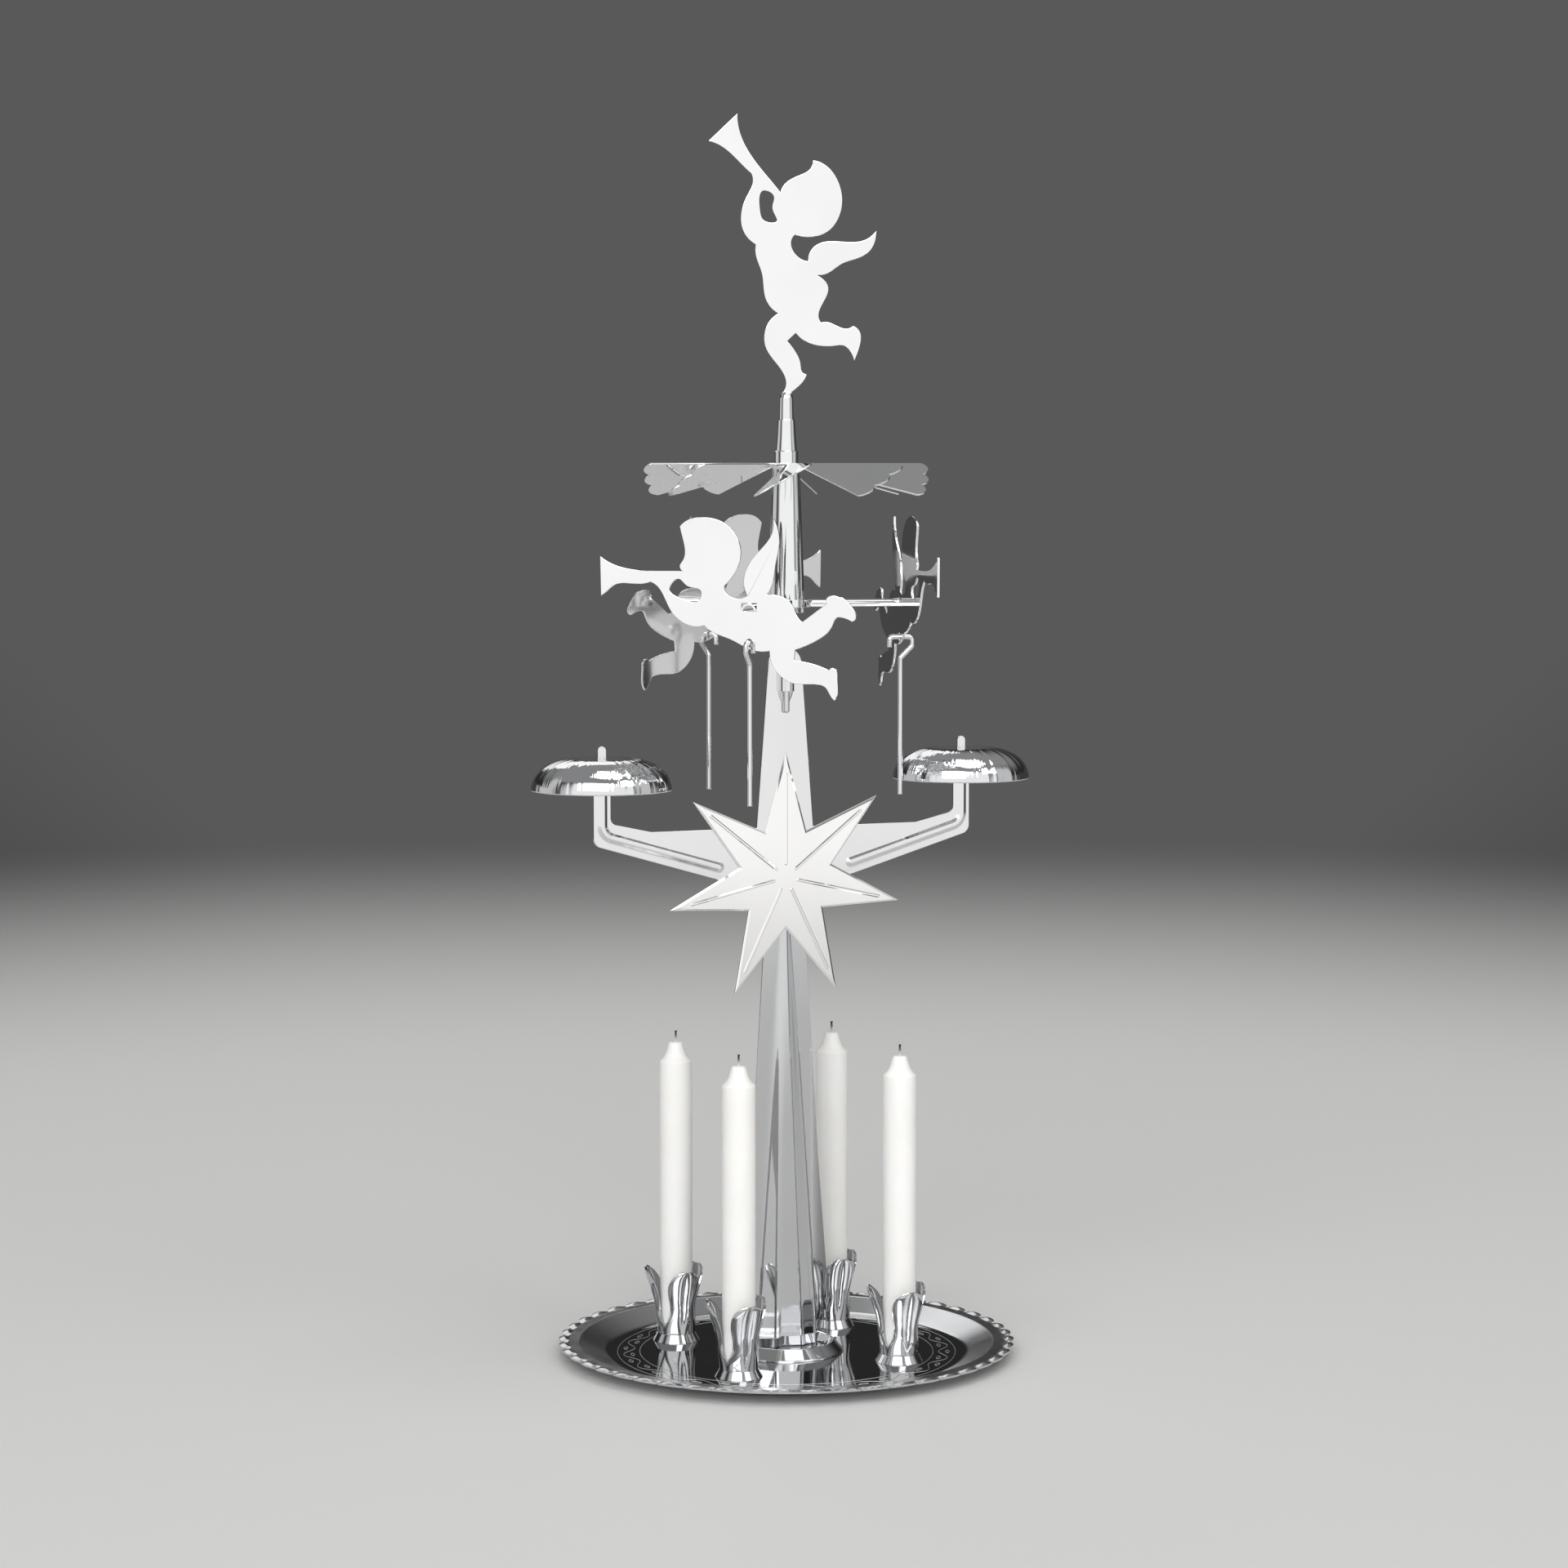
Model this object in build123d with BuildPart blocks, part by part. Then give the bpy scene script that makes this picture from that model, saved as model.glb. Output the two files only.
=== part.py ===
from build123d import *
from math import cos, hypot, radians, sin
import os

# Angel chime carousel in millimetres. The origin is the centre of the tray's underside, +X runs along
# the right bell arm, -Y is the side with the star, and +Z is up.

# Stock and fits
plate = 0.8
tray_sheet = 0.6
bell_sheet = 0.6
figure_sheet = 0.7
fan_sheet = 0.4
petal_sheet = 0.4
collar_sheet = 0.45
star_sheet = 0.6
wire_radius = 0.7
fixed_gap = 0.02
loose_gap = 0.1
swing_gap = 0.35

# Tray
rim_radius = 61.3
rim_width = 5.7
tray_wall_run = 7.4
tray_depth = 3.2
scallop_count = 48
scallop_depth = 1.3

# Needle
needle_radius = 0.82
needle_lap = 17.6
needle_foot_bevel = 0.5
needle_point_length = 2.0
needle_point_radius = 0.1

# Stem
stem_foot_half = 12.1
stem_knee_height = 22.8
stem_waist_half = 9.7
stem_waist_height = 52.0
stem_neck_half = 6.25
stem_neck_height = 107.7
stem_top_half = 5.9
stem_lap = 2.5
joggle_run = 1.0
joggle_gap = 0.3
stem_tab_width = 4.0
stem_tab_inset = 3.1
channel_foot_width = 17.4
channel_foot_face = 7.7
channel_foot_depth = 4.0
channel_top_width = 2.7
channel_top_face = 0.8
channel_top_depth = 0.5
channel_end_gap = 4.0
collar_run = 3.1
collar_height = 3.0

# Star
star_height = 128.7
star_points = 7
star_radius = 33.8
star_valley_radius = 13.65
star_rib_start = 3.2
star_rib_end = 28.0
star_rib_width = 0.9
star_rib_rise = 0.35
stud_radius = 1.0
stud_head_radius = 2.0
stud_head_height = 0.6
stud_spacing = 8.0

# Bell bracket
bracket_rise = 61.6
bracket_top_half = 4.8
bracket_root_half = 8.1
arm_top_rise = 13.5
arm_rise_run = 11.35
crook_rise = 2.55
elbow_drop = 3.1
arm_slope = 0.295
elbow_radius = 2.5
crook_radius = 2.0
tongue_half = 6.0
tongue_drop = 12.0
post_width = 4.7
post_rise = 19.1
tab_width = 2.3
tab_rise = 3.2
bead_width = 2.7
bead_top_width = 1.0
bead_rise = 0.6
bead_start_reach = 19.0
bead_offset = 3.4
bead_bend_radius = 3.5
sleeve_radius = 2.1
sleeve_length = 9.4
sleeve_top_gap = 2.4
scoop_length = 3.3
scoop_top_half = 2.3
scoop_top_rise = 0.7
scoop_foot_half = 0.95
scoop_foot_rise = 0.2

# Bells
bell_radius = 18.6
bell_height = 8.25
bell_lip = 0.3
bell_crown_radius = 8.0
striker_gap = 1.3

# Rotor hub
tube_foot_radius = 4.8
tube_clearance = 9.2
tube_length = 39.1
tube_foot_land = 4.2
tube_top_radius = 3.6
tube_wall = 0.5
tube_bead_radius = 0.5
holder_bore = 1.7
holder_collar_radius = 3.16
holder_collar_height = 3.2
holder_sleeve_foot_radius = 2.8
holder_sleeve_top_radius = 2.3
holder_sleeve_height = 8.3
holder_neck_foot_radius = 1.95
holder_neck_top_radius = 1.8
holder_neck_height = 5.7
holder_dome_height = 1.6
pivot_rise = 9.3
pivot_cup_height = 3.4
pivot_recess_depth = 1.6
pivot_recess_radius = 1.25

# Fan wheel
fan_radius = 37.9
fan_hub_radius = 5.4
blade_count = 8
blade_pitch = 30.0
blade_spread = 27.0
blade_neck_width = 1.2
blade_neck_overlap = 0.8
blade_start_angle = -102.5
lobe_count = 3
lobe_depth = 1.6

# Arm spider and flying angels
arm_place = 2.5
arm_width = 4.1
arm_rise = 2.0
arm_sheet = 0.6
arm_overlap = 0.8
arm_stake = 0.4
spider_ring_width = 1.9
angel_radius = 31.2
angel_angles = (-10.4, 109.6, 229.6)
angel_length = 69.7
outline_units = 100.0
hook_place = (0.2, -13.3)

# Standing angel
standing_height = 72.7
standing_turn = -22.5
tang_depth = 4.6
tang_left = -0.9
tang_right = 1.4

# Strikers
striker_drop_past_rim = 3.3
hook_inner_reach = 3.0
hook_outer_reach = 3.2
hook_end_drop = 2.8
hook_turn_drop = 2.4
hook_leg_drop = 5.6
hook_bend_radius = 1.0

# Candles and cups
cup_count = 4
cup_start_angle = 45.0
cup_circle = 32.5
candle_radius = 4.4
candle_height = 81.0
candle_shoulder = 5.0
candle_tip_radius = 1.8
candle_shoulder_slope = 0.35
candle_tip_lean = 0.2
wick_radius = 0.4
wick_rise = 3.0
wick_start = 6.0
cup_gap = 0.3
cup_foot_flare = 1.2
cup_foot_height = 2.2
cup_wall_height = 4.5
petal_count = 3
petal_start_angle = -90.0
petal_height = 20.0
petal_straight = 9.0
petal_flare = 3.6
petal_half = 3.3
petal_foot_half = 2.7
petal_widest = 13.0
rivet_radius = 1.0
rivet_head_radius = 1.9
rivet_head_height = 0.5

# Outline of a flying angel, from the arm slot, in hundredths of its length. Each row is one smooth edge
# between two sharp corners: trumpet, face, head, neck, wing, back, legs, belly and arm.
flying_edges = (
    ((-58.7, 18.5), (-55.5, 16.4), (-48.0, 13.9), (-40.0, 13.1), (-26.1, 13.1)),
    ((-26.1, 13.1), (-27.1, 15.3), (-26.0, 17.0), (-26.1, 25.7), (-27.1, 29.7)),
    ((-27.1, 29.7), (-23.2, 32.4), (-18.5, 33.1), (-8.6, 30.4), (-3.2, 21.0), (-5.7, 12.2), (-9.6, 7.9)),
    ((-9.6, 7.9), (-8.6, 4.9), (-6.7, 3.6), (-0.6, 4.3)),
    ((-0.6, 4.3), (-1.9, 11.2), (1.6, 18.2), (7.3, 24.5), (9.5, 32.7)),
    ((9.5, 32.7), (11.5, 21.5), (10.3, 15.8), (9.3, 9.5), (7.0, 4.6)),
    ((7.0, 4.6), (11.8, 4.3), (15.6, 2.4), (19.1, -3.6), (20.7, -5.2)),
    ((20.7, -5.2), (30.0, 1.6)),
    ((30.0, 1.6), (30.3, 3.9), (32.9, 4.6), (35.3, 3.9)),
    ((35.3, 3.9), (41.2, -1.9), (41.3, -3.6), (39.9, -4.9)),
    ((39.9, -4.9), (36.7, -3.6), (33.9, -3.6), (32.3, -6.3), (24.5, -12.9), (17.9, -15.5)),
    ((17.9, -15.5), (17.5, -19.4)),
    ((17.5, -19.4), (21.7, -19.9), (27.0, -21.2), (31.0, -22.8)),
    ((31.0, -22.8), (31.9, -22.0), (33.6, -22.5), (34.3, -25.8), (34.1, -32.4), (33.1, -34.0)),
    ((33.1, -34.0), (31.3, -31.9), (29.4, -29.1), (27.0, -28.3), (16.6, -27.8), (10.9, -24.0), (8.0, -16.1)),
    ((8.0, -16.1), (1.0, -15.8), (-7.6, -11.9), (-15.9, -8.5), (-17.5, -7.0)),
    ((-17.5, -7.0), (-22.4, -7.3), (-30.3, -2.2), (-36.6, 7.9), (-38.7, 9.0)),
    ((-38.7, 9.0), (-44.9, 8.2), (-53.1, 7.6), (-56.2, 5.2), (-58.4, 3.6)),
    ((-58.4, 3.6), (-58.7, 18.5)),
)
flying_arm_hole = ((-30.3, 8.4), (-27.0, 10.0), (-24.2, 7.6), (-18.8, 5.7), (-19.5, 2.5), (-25.8, 2.7))

# Outline of the standing angel, from the sole of its foot on the axis, in hundredths of its height.
standing_edges = (
    ((-17.7, 100.0), (-15.3, 89.5), (-9.9, 81.2), (-2.1, 71.8)),
    ((-2.1, 71.8), (-1.2, 74.0), (4.8, 77.9), (7.4, 79.1), (9.6, 83.2)),
    ((9.6, 83.2), (13.2, 82.1), (19.1, 74.8), (19.1, 63.1), (14.7, 57.5), (8.5, 55.7), (3.0, 56.5)),
    ((3.0, 56.5), (1.7, 53.9), (2.8, 50.2), (7.8, 47.0)),
    ((7.8, 47.0), (8.5, 50.2), (11.1, 53.0), (16.2, 54.2), (24.9, 53.9), (32.6, 58.0)),
    ((32.6, 58.0), (25.4, 47.9), (19.8, 45.9), (15.8, 43.1), (11.1, 42.0)),
    ((11.1, 42.0), (14.4, 34.1), (11.7, 27.0), (12.7, 24.9)),
    ((12.7, 24.9), (16.8, 24.5), (21.6, 22.7), (24.2, 23.7)),
    ((24.2, 23.7), (26.4, 22.1), (26.7, 16.8), (24.6, 11.0)),
    ((24.6, 11.0), (22.8, 15.0), (21.0, 16.5), (17.3, 16.5), (8.9, 17.3), (3.4, 21.2)),
    ((3.4, 21.2), (0.3, 18.3)),
    ((0.3, 18.3), (3.4, 14.3), (5.1, 10.2), (5.6, 7.4), (7.4, 6.2)),
    ((7.4, 6.2), (6.6, 4.4), (4.3, 1.8), (2.1, 0.0)),
    ((2.1, 0.0), (-1.0, 0.0)),
    ((-1.0, 0.0), (-0.3, 4.4), (-2.1, 8.1), (-7.8, 16.8), (-8.1, 19.3), (-3.0, 28.2)),
    ((-3.0, 28.2), (-8.1, 35.6), (-8.9, 42.5), (-11.1, 49.1), (-11.1, 53.0)),
    ((-11.1, 53.0), (-16.5, 61.8), (-15.0, 69.1), (-12.2, 75.5), (-12.7, 78.5)),
    ((-12.7, 78.5), (-18.0, 83.6), (-23.9, 88.5), (-28.2, 90.1)),
    ((-28.2, 90.1), (-17.7, 100.0)),
)
standing_arm_hole = ((-6.9, 72.2), (-4.5, 69.7), (-5.1, 65.9), (-3.6, 61.3), (-7.4, 61.3), (-9.6, 65.9))


def figure_edge(edges, size):
    """Draw a figure's closed edge, one line or smooth curve per row."""
    for edge in edges:
        points = [(across * size / outline_units, up * size / outline_units) for across, up in edge]
        if len(points) == 2:
            Line(*points)
        else:
            Spline(*points)


def figure_hole(points, size):
    """Draw a closed smooth hole through the given points."""
    places = [(across * size / outline_units, up * size / outline_units) for across, up in points]
    Spline(*places, periodic=True)


def finish(part, name):
    """Name a finished piece and write it."""
    part.label = name
    export_step(part, "parts/" + name + ".step")


os.makedirs("parts", exist_ok=True)

# Bracket and stem stand in one plane with the star against both. The stem's top steps back behind the
# bracket. The bracket's front touches the needle's back.
bracket_front = needle_radius
bracket_back = bracket_front + plate
stem_front = bracket_front
stem_back = bracket_back
stem_middle = (stem_front + stem_back) / 2
lap_back = stem_back + plate
star_back = bracket_front
star_front = star_back - star_sheet
post_middle = (bracket_front + bracket_back) / 2

# Heights follow one another from the star: bracket, bells, then the rotor above the bracket.
arm_top_height = star_height + arm_top_rise
shoulder_height = arm_top_height + post_rise
bell_rim_height = shoulder_height + loose_gap + bell_sheet - bell_height
bracket_top = star_height + bracket_rise
tongue_bottom = star_height - tongue_drop
tube_foot_height = bracket_top + tube_clearance
tube_top = tube_foot_height + tube_length
fan_height = tube_top + fan_sheet
pivot_height = fan_height + pivot_rise
arm_height = tube_foot_height + arm_place

# A striker that hangs in line with a bell just misses it.
bell_reach = angel_radius + wire_radius + striker_gap + bell_radius
bell_places = {"left": -bell_reach, "right": bell_reach}
cup_angles = [radians(cup_start_angle + step * 360 / cup_count) for step in range(cup_count)]
cup_places = [(cup_circle * cos(turn), cup_circle * sin(turn)) for turn in cup_angles]
stem_tab_place = stem_foot_half - stem_tab_inset

# Tray: a pressed dish. Each scallop is an arc from valley to valley through the rim radius.
rim_inner_radius = rim_radius - rim_width
floor_radius = rim_inner_radius - tray_wall_run
valley_radius = rim_radius - scallop_depth
valley_across = valley_radius * cos(radians(180 / scallop_count))
scallop_centre = (rim_radius**2 - valley_radius**2) / (2 * (rim_radius - valley_across))
with BuildPart() as tray:
    with BuildSketch(Plane.XZ):
        with BuildLine():
            Polyline(
                (0, 0),
                (floor_radius, 0),
                (rim_inner_radius, tray_depth),
                (valley_radius, tray_depth),
                (valley_radius, tray_depth + tray_sheet),
                (rim_inner_radius, tray_depth + tray_sheet),
                (floor_radius, tray_sheet),
                (0, tray_sheet),
                close=True,
            )
        make_face()
    revolve(axis=Axis.Z)
    with BuildSketch(Plane.XY.offset(tray_depth)):
        Circle(valley_radius)
        with PolarLocations(scallop_centre, scallop_count):
            Circle(rim_radius - scallop_centre)
        Circle(rim_inner_radius, mode=Mode.SUBTRACT)
    extrude(amount=tray_sheet)
    with BuildSketch():
        with Locations((stem_tab_place, stem_middle), (-stem_tab_place, stem_middle)):
            Rectangle(stem_tab_width + 2 * fixed_gap, plate + 2 * fixed_gap)
        with Locations(*cup_places):
            Circle(rivet_radius + fixed_gap)
    extrude(amount=tray_sheet, mode=Mode.SUBTRACT)
finish(tray.part, "tray")

# Stem collar: a conical ring that just clears the corners of the stem's foot.
collar_bore = hypot(stem_foot_half, stem_back) + loose_gap
collar_foot_radius = collar_bore + collar_run
collar_top = tray_sheet + collar_height
with BuildPart() as stem_collar:
    with BuildSketch(Plane.XZ):
        with BuildLine():
            Polyline(
                (collar_foot_radius - collar_sheet, tray_sheet),
                (collar_foot_radius, tray_sheet),
                (collar_bore + collar_sheet, collar_top),
                (collar_bore, collar_top),
                close=True,
            )
        make_face()
    revolve(axis=Axis.Z)
finish(stem_collar.part, "stem_collar")

# Stem: a tapered plate with two foot tabs through the tray and a channel pressed forward from it. Its top
# steps back behind the star and laps the bracket.
stem_top = star_height + stud_spacing / 2 + stem_lap
joggle_top = tongue_bottom - joggle_gap
joggle_foot = joggle_top - joggle_run
channel_ends = (
    (tray_sheet, channel_foot_width, channel_foot_face, channel_foot_depth),
    (tongue_bottom - channel_end_gap, channel_top_width, channel_top_face, channel_top_depth),
)
stud_places = [(0, star_height - stud_spacing / 2), (0, star_height + stud_spacing / 2)]
with BuildPart() as stem:
    with BuildSketch(Plane.XZ.offset(-stem_back)):
        with BuildLine():
            Polyline(
                (0, tray_sheet),
                (stem_foot_half, tray_sheet),
                (stem_foot_half, stem_knee_height),
                (stem_waist_half, stem_waist_height),
                (stem_neck_half, stem_neck_height),
                (stem_top_half, joggle_foot),
                (0, joggle_foot),
            )
            mirror(about=Plane.YZ)
        make_face()
        with Locations((stem_tab_place, tray_sheet / 2), (-stem_tab_place, tray_sheet / 2)):
            Rectangle(stem_tab_width, tray_sheet)
    extrude(amount=plate)
    with BuildSketch(Plane.YZ):
        with BuildLine():
            Polyline(
                (stem_front, joggle_foot),
                (stem_back, joggle_foot),
                (lap_back, joggle_top),
                (stem_back, joggle_top),
                close=True,
            )
        make_face()
    extrude(amount=stem_top_half, both=True)
    with BuildSketch(Plane.XZ.offset(-lap_back)):
        with Locations((0, (joggle_top + stem_top) / 2)):
            Rectangle(2 * stem_top_half, stem_top - joggle_top)
        with Locations(*stud_places):
            Circle(stud_radius + fixed_gap, mode=Mode.SUBTRACT)
    extrude(amount=plate)
    for wall_shift, wall_mode in ((0, Mode.ADD), (plate, Mode.SUBTRACT)):
        for height, width, face, depth in channel_ends:
            with BuildSketch(Plane.XY.offset(height)):
                with BuildLine():
                    Polyline(
                        (-width / 2, stem_front + wall_shift),
                        (-face / 2, stem_front + wall_shift - depth),
                        (face / 2, stem_front + wall_shift - depth),
                        (width / 2, stem_front + wall_shift),
                        close=True,
                    )
                make_face()
        loft(ruled=True, mode=wall_mode)
finish(stem.part, "stem")

# Bell bracket: a cross plate. The upper arm ends in a half-round sleeve for the needle, with a shallow
# scoop below it. Each bell arm has a raised bead and turns up into a post with a tab through the bell.
tab_top = bell_rim_height + bell_height + tab_rise
post_inner = bell_reach - post_width / 2
post_outer = bell_reach + post_width / 2
elbow_height = arm_top_height - elbow_drop
crook_height = arm_top_height + crook_rise
tongue_side = elbow_height - arm_slope * (post_outer - tongue_half)
bead_level = elbow_height + bead_offset - arm_slope * post_outer
bead_points = (
    (bead_start_reach, bead_level + arm_slope * bead_start_reach),
    (bell_reach, bead_level + arm_slope * bell_reach),
    (bell_reach, shoulder_height - bead_width),
)
sleeve_bottom = bracket_top - sleeve_top_gap - sleeve_length
scoop_bottom = sleeve_bottom - scoop_length
with BuildPart() as bell_bracket:
    with BuildSketch(Plane.XZ.offset(-bracket_back)) as bracket_face:
        with BuildLine():
            Polyline(
                (0, tongue_bottom),
                (tongue_half, tongue_bottom),
                (tongue_half, tongue_side),
                (post_outer, elbow_height),
                (post_outer, shoulder_height),
                (post_inner, shoulder_height),
                (post_inner, crook_height),
                (post_inner - arm_rise_run, arm_top_height),
                (bracket_root_half, arm_top_height),
                (bracket_top_half, bracket_top - bracket_top_half),
                (0, bracket_top - bracket_top_half),
            )
            mirror(about=Plane.YZ)
        make_face()
        for side in (-1, 1):
            elbow = Vector(side * post_outer, elbow_height)
            crook = Vector(side * post_inner, crook_height)
            fillet(bracket_face.vertices().sort_by_distance(elbow)[:1], elbow_radius)
            fillet(bracket_face.vertices().sort_by_distance(crook)[:1], crook_radius)
        with Locations((0, bracket_top - bracket_top_half)):
            Circle(bracket_top_half)
        for reach in bell_places.values():
            tab_middle = (shoulder_height + tab_top - tab_width / 2) / 2
            with Locations((reach, tab_middle)):
                Rectangle(tab_width, tab_top - tab_width / 2 - shoulder_height)
            with Locations((reach, tab_top - tab_width / 2)):
                Circle(tab_width / 2)
        with Locations(*stud_places):
            Circle(stud_radius + fixed_gap, mode=Mode.SUBTRACT)
    extrude(amount=plate)
    for side in (-1, 1):
        with BuildLine(Plane.XZ.offset(-bracket_front)) as bead_path:
            FilletPolyline(*[(side * reach, height) for reach, height in bead_points], radius=bead_bend_radius)
        with BuildSketch(Plane(origin=bead_path.line @ 0, x_dir=(0, -1, 0), z_dir=bead_path.line % 0)):
            with BuildLine():
                Polyline(
                    (0, -bead_width / 2),
                    (bead_rise, -bead_top_width / 2),
                    (bead_rise, bead_top_width / 2),
                    (0, bead_width / 2),
                    close=True,
                )
            make_face()
        sweep(path=bead_path.line)
        with Locations(Plane(origin=bead_path.line @ 0, z_dir=(0, -1, 0))):
            Cone(bead_width / 2, bead_top_width / 2, bead_rise, align=(Align.CENTER, Align.CENTER, Align.MIN))
    with BuildSketch(Plane.XY.offset(sleeve_bottom)):
        Circle(sleeve_radius)
        with Locations((0, bracket_front / 2)):
            Rectangle(2 * sleeve_radius, bracket_front)
    extrude(amount=sleeve_length)
    for height, half, rise in (
        (sleeve_bottom, scoop_top_half, scoop_top_rise),
        (scoop_bottom, scoop_foot_half, scoop_foot_rise),
    ):
        with BuildSketch(Plane.XY.offset(height)):
            with Locations((0, bracket_front)):
                Ellipse(half, rise)
    loft()
    with BuildSketch(Plane.XY.offset(scoop_bottom)):
        Circle(needle_radius + fixed_gap)
    extrude(amount=bracket_top - scoop_bottom, mode=Mode.SUBTRACT)
finish(bell_bracket.part, "bell_bracket")

# Star: a flat star against bracket and stem, with one raised rib along each point.
star_corners = []
for corner in range(2 * star_points):
    reach = star_radius if corner % 2 == 0 else star_valley_radius
    turn = radians(90 + corner * 180 / star_points)
    star_corners.append((reach * cos(turn), star_height + reach * sin(turn)))
with BuildPart() as star:
    with BuildSketch(Plane.XZ.offset(-star_back)):
        with BuildLine():
            Polyline(*star_corners, close=True)
        make_face()
    extrude(amount=star_sheet)
    with BuildSketch(Plane.XZ.offset(-star_front)):
        with Locations((0, star_height)):
            with PolarLocations((star_rib_start + star_rib_end) / 2, star_points, start_angle=90):
                SlotOverall(star_rib_end - star_rib_start, star_rib_width)
    extrude(amount=star_rib_rise)
finish(star.part, "star")

# Star studs: stand on the star's back, go through bracket and stem, and are headed over behind.
with BuildPart() as star_studs:
    with BuildSketch(Plane.XZ.offset(-lap_back)):
        with Locations(*stud_places):
            Circle(stud_radius)
    extrude(amount=lap_back - star_back)
    with BuildSketch(Plane.XZ.offset(-lap_back - stud_head_height)):
        with Locations(*stud_places):
            Circle(stud_head_radius)
    extrude(amount=stud_head_height)
finish(star_studs.part, "star_studs")

# Needle: a steel pin, pointed at the top, that carries the whole rotor.
needle_foot = bracket_top - needle_lap
with BuildPart() as needle:
    with BuildSketch(Plane.XZ):
        with BuildLine():
            Polyline(
                (0, needle_foot),
                (needle_radius - needle_foot_bevel, needle_foot),
                (needle_radius, needle_foot + needle_foot_bevel),
                (needle_radius, pivot_height - needle_point_length),
                (needle_point_radius, pivot_height),
                (0, pivot_height),
                close=True,
            )
        make_face()
    revolve(axis=Axis.Z)
finish(needle.part, "needle")

# Bells: flattened gongs with a flat crown that rests on the post's shoulders.
bell_hole = hypot(tab_width / 2, plate / 2) + loose_gap
curve_height = bell_height - bell_lip
curve_reach = bell_radius - bell_crown_radius
for side, reach in bell_places.items():
    bell_plane = Plane(origin=(reach, post_middle, bell_rim_height), x_dir=(1, 0, 0), z_dir=(0, -1, 0))
    with BuildPart() as bell:
        with BuildSketch(bell_plane):
            with BuildLine():
                Line((bell_hole, bell_height), (bell_crown_radius, bell_height))
                EllipticalCenterArc((bell_crown_radius, bell_lip), curve_reach, curve_height)
                Polyline((bell_radius, bell_lip), (bell_radius, 0), (bell_radius - bell_sheet, 0),
                         (bell_radius - bell_sheet, bell_lip))
                EllipticalCenterArc((bell_crown_radius, bell_lip), curve_reach - bell_sheet,
                                    curve_height - bell_sheet)
                Polyline((bell_crown_radius, bell_height - bell_sheet), (bell_hole, bell_height - bell_sheet),
                         (bell_hole, bell_height))
            make_face()
        revolve(axis=Axis((reach, post_middle, 0), (0, 0, 1)))
    finish(bell.part, "bell_" + side)

# Hub tube: a long tapered tube with a straight land at its foot for the arm spider.
land_top = tube_foot_height + tube_foot_land
with BuildPart() as hub_tube:
    with BuildSketch(Plane.XZ):
        with BuildLine():
            Polyline(
                (tube_foot_radius - tube_wall, tube_foot_height),
                (tube_foot_radius, tube_foot_height),
                (tube_foot_radius, land_top),
                (tube_top_radius, tube_top),
                (tube_top_radius - tube_wall, tube_top),
                (tube_foot_radius - tube_wall, land_top),
                close=True,
            )
        make_face()
        with Locations((tube_top_radius, tube_top - tube_bead_radius)):
            Circle(tube_bead_radius)
    revolve(axis=Axis.Z)
finish(hub_tube.part, "hub_tube")

# Pivot cup: sits at the end of the holder's bore, with a hollow cone over the needle's point.
recess_top = pivot_height + loose_gap
recess_foot = recess_top - pivot_recess_depth
cup_top = recess_foot + pivot_cup_height
cup_body_radius = holder_bore - fixed_gap
with BuildPart() as pivot_cup:
    with BuildSketch(Plane.XZ):
        with BuildLine():
            Polyline(
                (0, cup_top),
                (0, recess_top),
                (needle_point_radius + loose_gap, recess_top),
                (pivot_recess_radius, recess_foot),
                (cup_body_radius, recess_foot),
                (cup_body_radius, cup_top),
                close=True,
            )
        make_face()
    revolve(axis=Axis.Z)
finish(pivot_cup.part, "pivot_cup")

# Fan wheel: a hub disc with blades that bend down about their upper radial edge.
lobe_step = blade_spread / lobe_count
neck_radius = fan_hub_radius - blade_neck_overlap
with BuildPart() as fan_wheel:
    with BuildSketch(Plane.XY.offset(fan_height - fan_sheet)):
        Circle(fan_hub_radius)
    extrude(amount=fan_sheet)
    for blade in range(blade_count):
        turn = radians(blade_start_angle + blade * 360 / blade_count)
        lean = sin(radians(blade_pitch))
        blade_plane = Plane(
            origin=(0, 0, fan_height),
            x_dir=(cos(turn), sin(turn), 0),
            z_dir=(lean * sin(turn), -lean * cos(turn), cos(radians(blade_pitch))),
        )
        with BuildSketch(blade_plane):
            with BuildLine():
                edge = Line((neck_radius, 0), (fan_radius - lobe_depth, 0))
                for lobe in range(lobe_count):
                    crest = radians(-(lobe + 0.5) * lobe_step)
                    valley = radians(-(lobe + 1) * lobe_step)
                    edge = ThreePointArc(
                        edge @ 1,
                        (fan_radius * cos(crest), fan_radius * sin(crest)),
                        ((fan_radius - lobe_depth) * cos(valley), (fan_radius - lobe_depth) * sin(valley)),
                    )
                Polyline(edge @ 1, (neck_radius, -blade_neck_width), (neck_radius, 0))
            make_face()
        extrude(amount=-fan_sheet)
    with BuildSketch(Plane.XY.offset(fan_height)):
        Circle(holder_bore)
    extrude(amount=fan_sheet, both=True, mode=Mode.SUBTRACT)
finish(fan_wheel.part, "fan_wheel")

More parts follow.
